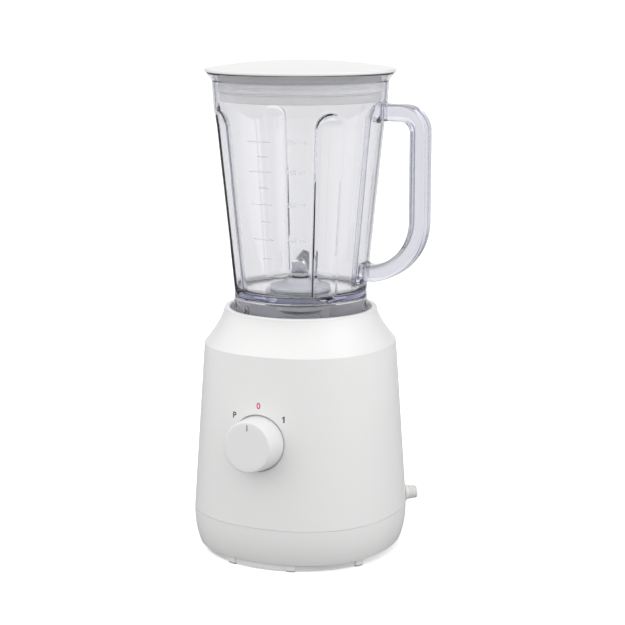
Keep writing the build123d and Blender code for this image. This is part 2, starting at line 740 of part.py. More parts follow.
def jug_handle():
    low_bend = handle_reach - handle_end_low
    top = Line((handle_end_top, handle_top_z), (handle_reach - handle_top_bend, handle_top_z))
    corner = JernArc(top @ 1, (1, 0), handle_top_bend, -90)
    grip = Line(corner @ 1, (handle_reach, handle_low_z + low_bend))
    curl = JernArc(grip @ 1, (0, -1), low_bend, -90)
    section = Plane(origin=(handle_end_top, 0, handle_top_z), x_dir=(0, 1, 0), z_dir=(1, 0, 0))
    section = section * RectangleRounded(handle_width, handle_thickness, handle_corner)
    body = sweep(section, Plane.XZ * (top + corner + grip + curl))
    return body + [tenon_block(handle_end_top, handle_top_z, 0), tenon_block(handle_end_low, handle_low_z, 0)]


# ---------------------------------------------------------------- blade unit
gasket_thickness = 1.0
flange_z = jug_floor_top_z + gasket_thickness
boss_top_z = flange_z + 8.0
boss_bottom = driven_top_z + 3.5
collar_z = boss_top_z + 1.4
blade_z = collar_z + 1.0


def blade_housing():
    neck_low = driven_top_z + 3.0
    body = turned((0, flange_z), (flange_radius, flange_z), (flange_radius, flange_z + 2), (13.5, flange_z + 4.5),
                  (10.5, boss_top_z), (0, boss_top_z))
    body += ring(neck_radius, neck_radius - 2.6, neck_low, flange_z)
    body += rod(bush_bore + 2.5, boss_bottom, flange_z)
    body += ring(neck_radius, bush_bore, flange_z - 2.5, flange_z + 1)
    return body - rod(bush_bore, boss_bottom, boss_top_z)


bush_bore = blade_shaft_radius + 3.0


def blade_gasket():
    return ring(flange_radius - 0.8, neck_radius + 0.5, jug_floor_top_z, flange_z)


def retaining_nut():
    low = jug_floor_under_z - 6.0
    body = ring(neck_radius + 8.5, neck_radius + 0.15, low, jug_floor_under_z - 0.1)
    for i in range(6):
        body -= Rot(0, 0, 60 * i) * block(5, 7, low, low + 3.5, neck_radius + 8)
    return body


def blade_bushes():
    return group([bush(boss_bottom + 0.3, boss_bottom + 6.8, blade_shaft_radius, bush_bore),
                  bush(boss_top_z - 8.4, boss_top_z - 1.9, blade_shaft_radius, bush_bore)])


def blade_seal():
    shaft = blade_shaft_radius + running_clearance
    return turned((bush_bore, boss_top_z - 1.7), (bush_bore, boss_top_z), (shaft + 1.2, boss_top_z + 0.6),
                  (shaft, boss_top_z + 0.6), (shaft, boss_top_z - 0.6), (shaft + 1.2, boss_top_z - 1.7))


def blade_shaft():
    body = rod(blade_shaft_radius, driven_disc_z + 0.5, blade_z) + rod(blade_shaft_radius + 2.6, collar_z, blade_z)
    return body + rod(3.0, blade_z, blade_z + 8.0)


def blade(z, tilt, turn):
    """Two-armed cutter: flat hub, arms folded up (positive tilt) or down."""
    fold = 8.0
    hub = block(2 * fold, 13.0, z, z + blade_thickness)
    root = -1.2
    tip = blade_reach - fold
    outline = make_face(Polyline((root, -6.5), (root, 6.5), (12.0, 5.5), (tip, 1.5), (tip - 3.0, -5.0), close=True))
    arm = extrude(outline, blade_thickness)
    arms = []
    for side in (0, 180):
        folded = Pos(fold, 0, z) * (Rot(0, -tilt, 0) * arm)
        arms.append(Rot(0, 0, side) * folded)
    body = hub + arms[0] + arms[1]
    body = Rot(0, 0, turn) * body
    return body - rod(3.05, z - 1, z + blade_thickness + 1)


def lower_blade():
    return blade(blade_z, -9.0, 20)


def upper_blade():
    return blade(blade_z + blade_thickness, 36.0, 110)


def blade_washer():
    low = blade_z + 2 * blade_thickness
    return ring(6.0, 3.05, low, low + 1.0)


def blade_nut():
    low = blade_z + 2 * blade_thickness + 1.0
    body = extrude(RegularPolygon(5.0, 6, major_radius=False), 3.6)
    body = Pos(0, 0, low) * body + (rod(4.6, low, low + 3.6) + Pos(0, 0, low + 3.6) * Sphere(4.6))
    body = body - rod(10, low - 8, low)
    return body - rod(3.02, low, blade_z + 8.2)


def driven_coupling():
    body = rod(clutch_radius, driven_disc_z, driven_top_z) + rod(blade_shaft_radius + 3, driven_top_z, driven_top_z + 2)
    body += dogs(driven_disc_z - dog_height, driven_disc_z, 180 / dog_count)
    return body - rod(blade_shaft_radius + 0.02, driven_disc_z + 0.5, driven_top_z + 2)


# ---------------------------------------------------------------- lid
lid_z = rim_z + lid_gap
plug_radius = mouth_radius - jug_wall - plug_gap


def lid():
    edge_top = lid_z + lid_edge
    top_z = edge_top + lid_dome
    sphere_r = (lid_radius ** 2 + lid_dome ** 2) / (2 * lid_dome)
    dome = Pos(0, 0, top_z - sphere_r) * Sphere(sphere_r) & rod(lid_radius, edge_top, top_z)
    under = Pos(0, 0, top_z - sphere_r - lid_wall) * Sphere(sphere_r) & rod(plug_radius - 2, lid_z, top_z)
    plate = rod(lid_radius, lid_z, edge_top)
    plug = ring(plug_radius, plug_radius - 2.0, lid_z - plug_depth, lid_z + 1)
    body = plate + dome - under + plug
    body -= ring(plug_radius + 1, plug_radius - 0.8, lid_z - 15.5, lid_z - 5.5)
    return body


def lid_gasket():
    """Silicone ring with three lips in the plug's groove."""
    inner, face = plug_radius - 0.75, plug_radius + 0.5
    tip = mouth_radius - jug_wall - gasket_gap
    low = lid_z - 15.3
    points = [(inner, low), (face, low)]
    for i in range(3):
        base = low + 0.6 + i * 3.1
        points += [(face, base), (tip, base + 1.1), (tip, base + 1.5), (face, base + 2.4)]
    points += [(face, low + 9.6), (inner, low + 9.6)]
    return turned(*points)


# ---------------------------------------------------------------- write one STEP per piece
PIECES = [motor_housing, bottom_cover, rubber_feet, cover_screws, cord_gland, cord_clamp, clamp_screws,
          control_knob, knob_pointer, rotary_switch, switch_nut, switch_shaft, switch_terminals,
          field_core, field_coils, upper_bracket, lower_bracket, upper_bush, lower_bush, motor_bolts,
          motor_nuts, motor_dampers, mount_screws, brush_holders, carbon_brushes, brush_springs,
          motor_shaft, armature_core, armature_windings, commutator, cooling_fan, drive_coupling,
          splash_seal, noise_capacitor, jug, jug_handle, blade_housing, blade_gasket, retaining_nut,
          blade_bushes, blade_seal, blade_shaft, lower_blade, upper_blade, blade_washer, blade_nut,
          driven_coupling, lid, lid_gasket]

os.makedirs("parts", exist_ok=True)
for piece in PIECES:
    export_step(piece(), f"parts/{piece.__name__}.step")
print("wrote", len(PIECES), "pieces; lid top at", round(lid_z + lid_edge + lid_dome, 2))
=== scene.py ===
import json
import math

import bmesh
import bpy
from mathutils import Matrix, Vector


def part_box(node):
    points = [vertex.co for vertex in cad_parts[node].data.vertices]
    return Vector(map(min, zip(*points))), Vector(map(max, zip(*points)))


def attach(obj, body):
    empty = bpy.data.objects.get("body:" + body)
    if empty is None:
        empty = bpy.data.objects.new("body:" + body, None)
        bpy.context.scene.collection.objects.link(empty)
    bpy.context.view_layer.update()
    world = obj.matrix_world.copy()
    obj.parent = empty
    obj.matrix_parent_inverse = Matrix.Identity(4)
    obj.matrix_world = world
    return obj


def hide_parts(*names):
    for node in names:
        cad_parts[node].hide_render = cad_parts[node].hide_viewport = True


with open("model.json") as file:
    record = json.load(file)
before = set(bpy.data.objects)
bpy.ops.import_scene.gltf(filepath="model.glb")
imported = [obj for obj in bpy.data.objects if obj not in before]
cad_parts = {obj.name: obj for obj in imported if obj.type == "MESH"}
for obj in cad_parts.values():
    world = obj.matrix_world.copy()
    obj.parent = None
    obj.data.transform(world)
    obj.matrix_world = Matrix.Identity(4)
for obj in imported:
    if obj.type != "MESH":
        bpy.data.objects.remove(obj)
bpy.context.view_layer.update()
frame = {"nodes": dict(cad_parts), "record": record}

mm = 0.001
full_turn = 2 * math.pi
quarter = math.pi / 2


# ---------------------------------------------------------------- studio
# A white sheet underfoot, which glows a little so the camera sees it white and which is painted darker round
# its middle for every other ray, a painted shade that the jug shows and that bounces onto the blender; soft
# light from all round that is strongest high on the right, and a long lens a little above the lid.  Beside
# and behind stand two blinds of fine upright slats, which look solid along their length and open from the
# side, and draw the edges of the clear jug.
def add(name, mesh):
    """A new object at the origin."""
    made = bpy.data.objects.new(name, mesh)
    bpy.context.scene.collection.objects.link(made)
    return made


class Value:
    """A node's output that can be used in sums with numbers and other outputs."""

    def __init__(self, tree, socket):
        self.tree, self.socket = tree, socket

    def __add__(self, other):
        return self.tree.math("ADD", self, other)

    def __sub__(self, other):
        return self.tree.math("SUBTRACT", self, other)

    def __rsub__(self, other):
        return self.tree.math("SUBTRACT", other, self)

    def __mul__(self, other):
        return self.tree.math("MULTIPLY", self, other)

    def __truediv__(self, other):
        return self.tree.math("DIVIDE", self, other)

    def __gt__(self, other):
        return self.tree.math("GREATER_THAN", self, other)

    def __lt__(self, other):
        return self.tree.math("LESS_THAN", self, other)

    __radd__ = __add__
    __rmul__ = __mul__


class Tree:
    """Writes the nodes of a material, of the surroundings or of a shape."""

    def __init__(self, node_tree):
        self.nodes, self.links = node_tree.nodes, node_tree.links

    def node(self, kind, settings=None, sockets=None, output=0):
        """Adds one node: its settings first, then the values or links of its sockets."""
        made = self.nodes.new(kind)
        for key, value in (settings or {}).items():
            setattr(made, key, value)
        for key, value in (sockets or {}).items():
            if isinstance(value, Value):
                self.links.new(value.socket, made.inputs[key])
            else:
                made.inputs[key].default_value = value
        return Value(self, made.outputs[output]) if len(made.outputs) else made

    def math(self, operation, *values):
        return self.node("ShaderNodeMath", {"operation": operation}, dict(enumerate(values)))


view_bearing = math.radians(24.5)
to_camera = Vector((math.sin(view_bearing), -math.cos(view_bearing), 0))
to_right = Vector((math.cos(view_bearing), math.sin(view_bearing), 0))
camera_distance, camera_height, camera_aside, camera_pitch = 1.326, 0.4406, 0.00914, 79.09
camera = bpy.data.objects.new("camera", bpy.data.cameras.new("camera"))
camera.data.lens, camera.data.sensor_width = 100, 36
camera.location = to_camera * camera_distance + to_right * camera_aside + Vector((0, 0, camera_height))
camera.rotation_euler = (math.radians(camera_pitch), 0, view_bearing)
bpy.context.scene.collection.objects.link(camera)
bpy.context.scene.camera = camera
bpy.context.scene.view_settings.view_transform = "Standard"

surroundings = bpy.data.worlds.new("surroundings")
bpy.context.scene.world = surroundings
surroundings.use_nodes = True
surroundings.node_tree.nodes.clear()
sky = Tree(surroundings.node_tree)
way = sky.node("ShaderNodeTexCoord", output="Generated")


def towards(direction):
    return sky.node("ShaderNodeVectorMath", {"operation": "DOT_PRODUCT"}, {0: way, 1: direction}, "Value")


high_front = (Vector((0, 0, 0.74)) + to_camera * 0.46 - to_right * 0.52).normalized()
left_side = (Vector((0, 0, 0.35)) - to_right * 0.90 + to_camera * 0.10).normalized()
right_front = (to_right * 0.85 + to_camera * 0.42 + Vector((0, 0, 0.25))).normalized()


def lobe(direction, power, strength):
    """A soft patch of light centred on a direction."""
    return strength * sky.math("POWER", sky.math("MAXIMUM", towards(direction), 0.0), float(power))


brightness = 0.40 + lobe(high_front, 3, 0.88) + lobe(right_front, 3, 1.60) + lobe(left_side, 3, 0.85)
brightness = brightness + lobe(-to_camera, 4, 0.60)
seen_direct = sky.node("ShaderNodeLightPath", output="Is Camera Ray")
glow = sky.node("ShaderNodeBackground", sockets={
    0: (1, 1, 1, 1), 1: sky.math("MAXIMUM", brightness, seen_direct)})
sky.node("ShaderNodeOutputWorld", sockets={0: glow})

key_lamp = bpy.data.lights.new("key_light", "AREA")
key_lamp.shape, key_lamp.size, key_lamp.energy = "SQUARE", 1.0, 3.0
key_light = bpy.data.objects.new("key_light", key_lamp)
key_light.location = to_right * 1.3 + to_camera * 0.5 + Vector((0, 0, 1.5))
key_light.rotation_euler = (Vector((0, 0, 0.2)) - key_light.location).to_track_quat("-Z", "Y").to_euler()
bpy.context.scene.collection.objects.link(key_light)


def material(name, **constants):
    """A material, its tree and its shader; what is the same all over sits on the shader's own sockets."""
    made = bpy.data.materials.new(name)
    made.use_nodes = True
    made.node_tree.nodes.clear()
    shader = made.node_tree.nodes.new("ShaderNodeBsdfPrincipled")
    for key, value in constants.items():
        shader.inputs[key.replace("_", " ")].default_value = value
    out = made.node_tree.nodes.new("ShaderNodeOutputMaterial")
    made.node_tree.links.new(shader.outputs[0], out.inputs[0])
    return made, Tree(made.node_tree), shader


def feed(tree, shader, **links):
    for key, value in links.items():
        tree.links.new(value.socket, shader.inputs[key.replace("_", " ")])


def noise(tree, scale, detail=2.0, stretch=(1, 1, 1)):
    """Noise over the object's own coordinates, in metres, drawn out along an axis by stretch."""
    place = tree.node("ShaderNodeTexCoord", output="Object")
    place = tree.node("ShaderNodeMapping", sockets={"Vector": place, "Scale": stretch})
    return tree.node("ShaderNodeTexNoise", sockets={"Vector": place, "Scale": scale, "Detail": detail})


def shade(tree, mask, low, high):
    """Colour that runs from low to high as the mask runs from 0 to 1."""
    sockets = {"Factor": mask, 6: (*low, 1), 7: (*high, 1)}
    return tree.node("ShaderNodeMix", {"data_type": "RGBA"}, sockets, 2)


def bump(tree, height, depth, strength=1.0):
    return tree.node("ShaderNodeBump", sockets={"Strength": strength, "Distance": depth, "Height": height})


sheet_paper, paper, paper_shader = material("sheet_paper", Specular_IOR_Level=0.1)
paper_seen = paper.node("ShaderNodeLightPath", output="Is Camera Ray")
from_middle = paper.node("ShaderNodeVectorMath", {"operation": "LENGTH"},
                         {0: paper.node("ShaderNodeTexCoord", output="Object")}, "Value")
# painted shade: for every ray but the camera's the sheet is dark near its middle and light far out, while the
# camera sees it white
painted_shade_tone = paper.node("ShaderNodeMapRange", {"interpolation_type": "SMOOTHSTEP"}, {
    "Value": from_middle, "From Min": 0.3, "From Max": 1.2, "To Min": 0.36, "To Max": 0.76})
painted_shade_tone = paper.math("MAXIMUM", painted_shade_tone, 0.92 * paper_seen)
paper_shader.inputs["Emission Strength"].default_value = 0.45
feed(paper, paper_shader, Roughness=0.8 + 0.1 * noise(paper, 40.0),
     Base_Color=shade(paper, painted_shade_tone, (0.0, 0.0, 0.0), (1.0, 1.0, 1.0)),
     Emission_Color=shade(paper, paper_seen, (0.0, 0.0, 0.0), (1.0, 1.0, 1.0)))
floor_mesh = bpy.data.meshes.new("floor")
half_floor = 40
floor_corners = [(-half_floor, -half_floor, 0), (half_floor, -half_floor, 0), (half_floor, half_floor, 0),
                 (-half_floor, half_floor, 0)]
floor_mesh.from_pydata(floor_corners, [], [(0, 1, 2, 3)])
floor_mesh.materials.append(sheet_paper)
add("floor", floor_mesh)

board_card, card, card_shader = material("board_card", Specular_IOR_Level=0.1)
feed(card, card_shader, Roughness=0.8 + 0.1 * noise(card, 40.0),
     Base_Color=shade(card, noise(card, 8.0), (0.12, 0.13, 0.20), (0.15, 0.16, 0.23)))
slat_count, slat_pitch, half_slat, slat_height = 150, 0.0028, 0.0005, 0.6
blind_aside, blind_start = 0.30, 0.08
for name, side in (("board_left", -blind_aside), ("board_right", blind_aside)):
    corners = []
    for i in range(slat_count):
        middle = to_right * side - to_camera * (blind_start + slat_pitch * i)
        corners += [middle + to_right * x + Vector((0, 0, h)) for x, h in (
            (-half_slat, 0), (half_slat, 0), (half_slat, slat_height), (-half_slat, slat_height))]
    board_mesh = bpy.data.meshes.new(name)
    board_mesh.from_pydata(corners, [], [tuple(range(4 * i, 4 * i + 4)) for i in range(slat_count)])
    board_mesh.materials.append(board_card)
    board = add(name, board_mesh)
    board.visible_camera = board.visible_diffuse = board.visible_shadow = False


# ---------------------------------------------------------------- rubber feet
# Eight small grey rubber pads that the whole blender stands on, spread round its edge.  Each is moulded
# with a stem, which is pushed up into the stand ring under the cover.
def moulded(name, colour, rough, grain=0.00002, grain_scale=2600.0, coat=0.0, cloud=0.975):
    """Moulded plastic or rubber: fine grain, faint flow shading, uneven gloss."""
    made, tree, shader = material(name, IOR=1.5, Coat_Weight=coat, Coat_Roughness=0.12)
    darker = tuple(c * cloud for c in colour)
    feed(tree, shader, Base_Color=shade(tree, noise(tree, 14.0, 3.0), darker, colour),
         Roughness=rough - 0.04 + 0.08 * noise(tree, 60.0, 4.0),
         Normal=bump(tree, noise(tree, grain_scale), grain))
    return made


def finished(name, work, finish, crisp=35):
    """Turns a bmesh into an object with smooth faces and crisp edges where they turn sharply."""
    bmesh.ops.remove_doubles(work, verts=work.verts, dist=1e-6)
    bmesh.ops.recalc_face_normals(work, faces=work.faces)
    for face in work.faces:
        face.smooth = True
    for edge in work.edges:
        edge.smooth = len(edge.link_faces) == 2 and edge.calc_face_angle(0) < math.radians(crisp)
    mesh = bpy.data.meshes.new(name)
    work.to_mesh(mesh)
    work.free()
    mesh.materials.append(finish)
    return add(name, mesh)


def skin(name, rows, finish, closed=False, crisp=35, places=(Matrix(),)):
    """Mesh through rings of points that all have the same count; a ring drawn to a point closes an end."""
    work = bmesh.new()
    for place in places:
        rings = [[work.verts.new(place @ Vector(p)) for p in row] for row in rows]
        for low, high in list(zip(rings, rings[1:])) + ([(rings[-1], rings[0])] if closed else []):
            for i in range(len(low)):
                j = (i + 1) % len(low)
                work.faces.new((low[i], low[j], high[j], high[i]))
    return finished(name, work, finish, crisp)


def box_ring(half_x, half_y, corner, z, steps=6):
    """Rounded rectangle in mm at a height, as a ring of points in metres."""
    points = []
    for k in range(4):
        side_x, side_y = ((1, 1), (-1, 1), (-1, -1), (1, -1))[k]
        for i in range(steps + 1):
            angle = quarter * (k + i / steps)
            x = side_x * (half_x - corner) + corner * math.cos(angle)
            y = side_y * (half_y - corner) + corner * math.sin(angle)
            points.append(Vector((x, y, z)) * mm)
    return points


class Shape(Tree):
    """A shape tree: named sizes go in, and realised geometry with its material comes out."""

    def __init__(self, name, sizes):
        self.group = bpy.data.node_groups.new(name, "GeometryNodeTree")
        super().__init__(self.group)
        self.group.interface.new_socket("Geometry", in_out="INPUT", socket_type="NodeSocketGeometry")
        self.sizes = {}
        for label, value in sizes.items():
            kind = "NodeSocketInt" if isinstance(value, int) else "NodeSocketFloat"
            made = self.group.interface.new_socket(label, in_out="INPUT", socket_type=kind)
            self.sizes[made.identifier] = value
        self.group.interface.new_socket("Geometry", in_out="OUTPUT", socket_type="NodeSocketGeometry")
        self.entry = self.nodes.new("NodeGroupInput")
        self.start = self.size("Geometry")

    def size(self, label):
        return Value(self, self.entry.outputs[label])

    def vector(self, x, y, z):
        return self.node("ShaderNodeCombineXYZ", sockets={0: x, 1: y, 2: z})

    def axis(self, vector, letter):
        return self.node("ShaderNodeSeparateXYZ", sockets={0: vector}, output=letter)

    def made_from(self, start, geometry, name, finish, crisp=35):
        """Ends the tree, runs it on the start mesh and gives back a plain mesh object."""
        real = self.node("GeometryNodeRealizeInstances", sockets={0: geometry})
        coated = self.node("GeometryNodeSetMaterial", sockets={"Geometry": real, "Material": finish})
        self.node("NodeGroupOutput", sockets={0: coated})
        carrier = add(name, start)
        modifier = carrier.modifiers.new(name, "NODES")
        modifier.node_group = self.group
        for identifier, value in self.sizes.items():
            modifier[identifier] = value
        evaluated = carrier.evaluated_get(bpy.context.evaluated_depsgraph_get())
        result = bpy.data.meshes.new_from_object(evaluated)
        bpy.data.objects.remove(carrier)
        work = bmesh.new()
        work.from_mesh(result)
        return finished(name, work, finish, crisp)


def settle(piece, body, slot, *nodes):
    """Says what a finished piece rides on and which CAD nodes it stands for, and hides those nodes; slot is
    not used.
    """
    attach(piece, body)
    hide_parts(*nodes)
    return piece


foot_rubber = moulded("foot_rubber", (0.42, 0.42, 0.42), 0.7, 0.00006, 1400.0, cloud=0.85)
foot_height, foot_half = 1.2, 3.5
foot_rows = [box_ring(0, 0, 0, 0), box_ring(3.1, 3.1, 1.2, 0), box_ring(foot_half, foot_half, 1.5, 0.4),
             box_ring(foot_half, foot_half, 1.5, foot_height), box_ring(1.4, 1.4, 1.4, foot_height),
             box_ring(1.4, 1.4, 1.4, 4.8), box_ring(1.0, 1.0, 1.0, 5.2), box_ring(0, 0, 0, 5.2)]
one_foot = skin("one_foot", foot_rows, foot_rubber)
feet_shape = Shape("feet_on_ring", {
    "Ring radius": 73.5 * mm, "Front": math.radians(19), "Front side": math.radians(60.5),
    "Back side": math.radians(119.5), "Back": math.radians(161)})
feet = []
for label in ("Front", "Front side", "Back side", "Back"):
    for side in (-1.0, 1.0):
        bearing, reach = feet_shape.size(label) * side, feet_shape.size("Ring radius")
        spot = feet_shape.vector(reach * feet_shape.math("SINE", bearing),
                                 reach * feet_shape.math("COSINE", bearing) * -1.0, 0.0)
        feet.append(feet_shape.node("GeometryNodeTransform", sockets={
            "Geometry": feet_shape.start, "Translation": spot,
            "Rotation": feet_shape.vector(0.0, 0.0, bearing)}))
all_feet = feet_shape.nodes.new("GeometryNodeJoinGeometry")
for foot in feet:
    feet_shape.links.new(foot.socket, all_feet.inputs[0])
rubber_feet = feet_shape.made_from(one_foot.data, Value(feet_shape, all_feet.outputs[0]), "rubber_foot_pads",
                                   foot_rubber)
bpy.data.objects.remove(one_foot)
settle(rubber_feet, "base", "rubber", "rubber_feet")


# ---------------------------------------------------------------- bottom cover and motor housing
# Two white ABS mouldings that meet at a fine seam; the cover carries the stand ring and the cooling
# slots, the housing the jug seat and the dial pocket.  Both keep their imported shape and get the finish.
white_abs = moulded("white_abs", (0.80, 0.80, 0.795), 0.33, coat=0.25)


def dress(finish, *nodes):
    """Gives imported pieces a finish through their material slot."""
    for name in nodes:
        slots = frame["nodes"][name].data.materials
        slots.clear()
        slots.append(finish)


dress(white_abs, "bottom_cover", "motor_housing")


# ---------------------------------------------------------------- cover screws
# Four zinc-plated self-tapping screws with a cross recess, driven up through the cover's wells.
def metal(name, colour, rough, stretch, scale, depth=0.00003, cloud=0.86):
    """Metal with fine lines from rolling, turning or winding; an even stretch gives a cast face."""
    made, tree, shader = material(name, Metallic=1.0)
    lines = noise(tree, scale, 3.0, stretch)
    darker = tuple(c * cloud for c in colour)
    feed(tree, shader, Base_Color=shade(tree, lines, darker, colour), Roughness=rough - 0.08 + 0.16 * lines,
         Normal=bump(tree, lines, depth))
    return made


def rounded(corners, steps=5):
    """Outline in metres from (radius, height, rounding) corners in mm; each rounding is a true arc."""
    outline = []
    for i, (r, z, size) in enumerate(corners):
        here = Vector((r, z))
        back, ahead = (Vector(corners[(i + k) % len(corners)][:2]) - here for k in (-1, 1))
        straight = back.length < 1e-6 or ahead.length < 1e-6 or math.pi - back.angle(ahead) < 0.01
        if size <= 0 or straight:
            outline.append(here * mm)
            continue
        half = back.angle(ahead) / 2
        cut = min(size / math.tan(half), 0.49 * back.length, 0.49 * ahead.length)
        start, end = here + back.normalized() * cut, here + ahead.normalized() * cut
        centre = here + (back.normalized() + ahead.normalized()).normalized() * (cut / math.cos(half))
        swing = math.pi - 2 * half
        for k in range(steps + 1):
            share = k / steps
            arm = (start - centre) * math.sin((1 - share) * swing) + (end - centre) * math.sin(share * swing)
            outline.append((centre + arm / math.sin(swing)) * mm)
    return outline


def turned(name, corners, finish, segments=128, place=Matrix(), crisp=35):
    """Lathe-turned solid; its outline is closed unless both its ends lie on the axis."""
    rows = []
    for r, z in rounded(corners):
        angles = [full_turn * i / segments for i in range(segments)]
        rows.append([Vector((r * math.cos(a), r * math.sin(a), z)) for a in angles])
    on_axis = corners[0][0] == 0 and corners[-1][0] == 0
    return skin(name, rows, finish, not on_axis, crisp, [place])


zinc_plate = metal("zinc_plate", (0.60, 0.61, 0.63), 0.36, (1, 1, 0.1), 1200.0)
screw_head_z, screw_recess = 22.4, 1.2
cross = [(0.5, 0.5), (0.5, 2.2), (-0.5, 2.2), (-0.5, 0.5), (-2.2, 0.5), (-2.2, -0.5), (-0.5, -0.5),
         (-0.5, -2.2), (0.5, -2.2), (0.5, -0.5), (2.2, -0.5), (2.2, 0.5)]


def screw_rows():
    """Rings from the bottom of the cross recess, over the pan head and up the shank to its point."""
    angles = [math.atan2(y, x) for x, y in cross]

    def circle(r, z):
        return [Vector((r * math.cos(a), r * math.sin(a), z)) * mm for a in angles]
    recess = [Vector((x, y, screw_head_z + screw_recess)) * mm for x, y in cross]
    rows = [circle(0, screw_head_z + screw_recess), recess]
    rows.append([Vector((x, y, screw_head_z)) * mm for x, y in cross])
    rows += [circle(2.9, screw_head_z), circle(3.3, screw_head_z + 0.5), circle(3.3, 24.8), circle(1.7, 24.8)]
    turns, pitch = 13, 1.3
    for i in range(2 * turns):
        rows.append(circle(1.7 if i % 2 else 1.35, 25.2 + i * pitch / 2))
    return rows + [circle(0, 43.0)]


one_screw = skin("one_screw", screw_rows(), zinc_plate)
screw_shape = Shape("screws_in_corners", {
    "Screws": 4, "Ring radius": 65.0 * mm, "First bearing": quarter / 2})
corners_ring = screw_shape.node("GeometryNodeMeshCircle", sockets={
    "Vertices": screw_shape.size("Screws"), "Radius": screw_shape.size("Ring radius")})
turned_ring = screw_shape.node("GeometryNodeTransform", sockets={
    "Geometry": corners_ring, "Rotation": screw_shape.vector(0.0, 0.0, screw_shape.size("First bearing"))})
placed = screw_shape.node("GeometryNodeInstanceOnPoints", sockets={
    "Points": turned_ring, "Instance": screw_shape.start})
cover_screws = screw_shape.made_from(one_screw.data, placed, "cross_head_screws", zinc_plate)
bpy.data.objects.remove(one_screw)
settle(cover_screws, "base", "screw_steel", "cover_screws")


# ---------------------------------------------------------------- cord gland
# A white PVC strain relief pinched between housing and cover on the right, with a collar outside the
# wall and four shallow flex rings towards its tip.
soft_pvc = moulded("soft_pvc", (0.80, 0.80, 0.79), 0.5)
gland_root, gland_wall, gland_tip, cord_radius = 77.6, 84.47, 95.47, 3.5
gland_corners = [(cord_radius, gland_root, 0.3), (7.3, gland_root, 0.4), (7.3, 80.6, 0.2), (4.8, 80.6, 0.2),
                 (4.8, gland_wall + 0.6, 0), (6.8, gland_wall + 0.6, 0.4), (6.8, gland_wall + 2.2, 0.4),
                 (5.9, gland_wall + 2.3, 0)]
for i in range(4):
    along, slimmer = gland_wall + 3.2 + i * 1.7, 0.2 * i
    gland_corners += [(5.8 - slimmer, along, 0.2), (5.2 - slimmer, along + 0.3, 0.2),
                      (5.2 - slimmer, along + 0.9, 0.2), (5.7 - slimmer, along + 1.2, 0.2)]
gland_corners += [(4.8, gland_tip, 0.6), (cord_radius, gland_tip, 0.4)]
gland_bearing, seam_z = math.radians(128), 33.8
gland_place = Matrix.Rotation(gland_bearing - quarter, 4, "Z") @ Matrix.Rotation(quarter, 4, "Y")
gland_place = Matrix.Translation((0, 0, seam_z * mm)) @ gland_place
gland = turned("cord_gland_sleeve", gland_corners, soft_pvc, 48, gland_place)
settle(gland, "base", "white_rubber", "cord_gland")


# ---------------------------------------------------------------- motor, switch and wiring pieces
# Universal motor hung on rubber dampers from the seat floor: stacked sheet-steel cores, enamelled copper
# coils, pressed brackets and sintered bronze bushes.  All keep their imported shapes.
black_nylon = moulded("black_nylon", (0.06, 0.06, 0.066), 0.42, 0.00004, cloud=0.8)
grey_acetal = moulded("grey_acetal", (0.76, 0.77, 0.80), 0.36, cloud=0.93)
damper_rubber = moulded("damper_rubber", (0.04, 0.04, 0.04), 0.62, 0.00005, 1400.0, cloud=0.8)
carbon_block = moulded("carbon_block", (0.05, 0.05, 0.05), 0.55, 0.00008, 1800.0, cloud=0.7)
stainless = metal("stainless", (0.62, 0.63, 0.65), 0.26, (1, 1, 0.05), 900.0)
sheet_steel = metal("stacked_sheet_steel", (0.22, 0.22, 0.23), 0.5, (0.02, 0.02, 1), 2400.0, 0.0001)
copper_wire = metal("copper_wire", (0.58, 0.25, 0.12), 0.34, (0.05, 1, 1), 1600.0, 0.00015)
sheet_brass = metal("sheet_brass", (0.72, 0.56, 0.28), 0.3, (1, 8, 1), 300.0)
pressed_zinc = metal("pressed_zinc", (0.58, 0.59, 0.60), 0.42, (1, 1, 1), 700.0, 0.00006, 0.8)
sintered_bronze = metal("sintered_bronze", (0.46, 0.33, 0.2), 0.45, (1, 1, 1), 1100.0, 0.00008, 0.75)

slot_finish = {
    "dark_plastic": black_nylon, "grey_plastic": grey_acetal, "rubber": damper_rubber, "steel": stainless,
    "screw_steel": zinc_plate, "laminations": sheet_steel, "copper": copper_wire, "brass": sheet_brass,
    "bronze": sintered_bronze, "zinc_cast": pressed_zinc, "carbon": carbon_block, "blade_steel": stainless}
for entry in frame["record"]["subparts"]:
    if entry["material_slot"] in slot_finish:
        dress(slot_finish[entry["material_slot"]], entry["node"])
# painted light: the two couplings are black nylon, given a lighter grey copy of it so the dim seat seen
# through the jug reads brighter
coupling_nylon_painted_light = moulded("coupling_nylon_painted_light", (0.46, 0.46, 0.50), 0.42, 0.00004, cloud=0.9)
dress(coupling_nylon_painted_light, "drive_coupling", "driven_coupling")


# ---------------------------------------------------------------- dial marks
# P, 0 and 1 in an arc above the dial, pad-printed on the housing's front wall.  The ink is a thin film
# that follows the wall, red for the 0 and dark grey for the others.
knob_z, dial_tilt = 99.0, math.radians(3.9)
base_radius, squareness = 83.0, 0.02


def front_wall(x, z):
    """The y, in mm, of the housing's front wall at a place across and a height."""
    radius = base_radius - math.tan(dial_tilt) * (z - seam_z)
    y = -radius
    for _ in range(4):
        flatter = 1 - squareness * math.cos(4 * math.atan2(x, -y))
        y = -math.sqrt((radius * flatter) ** 2 - x * x)
    return y


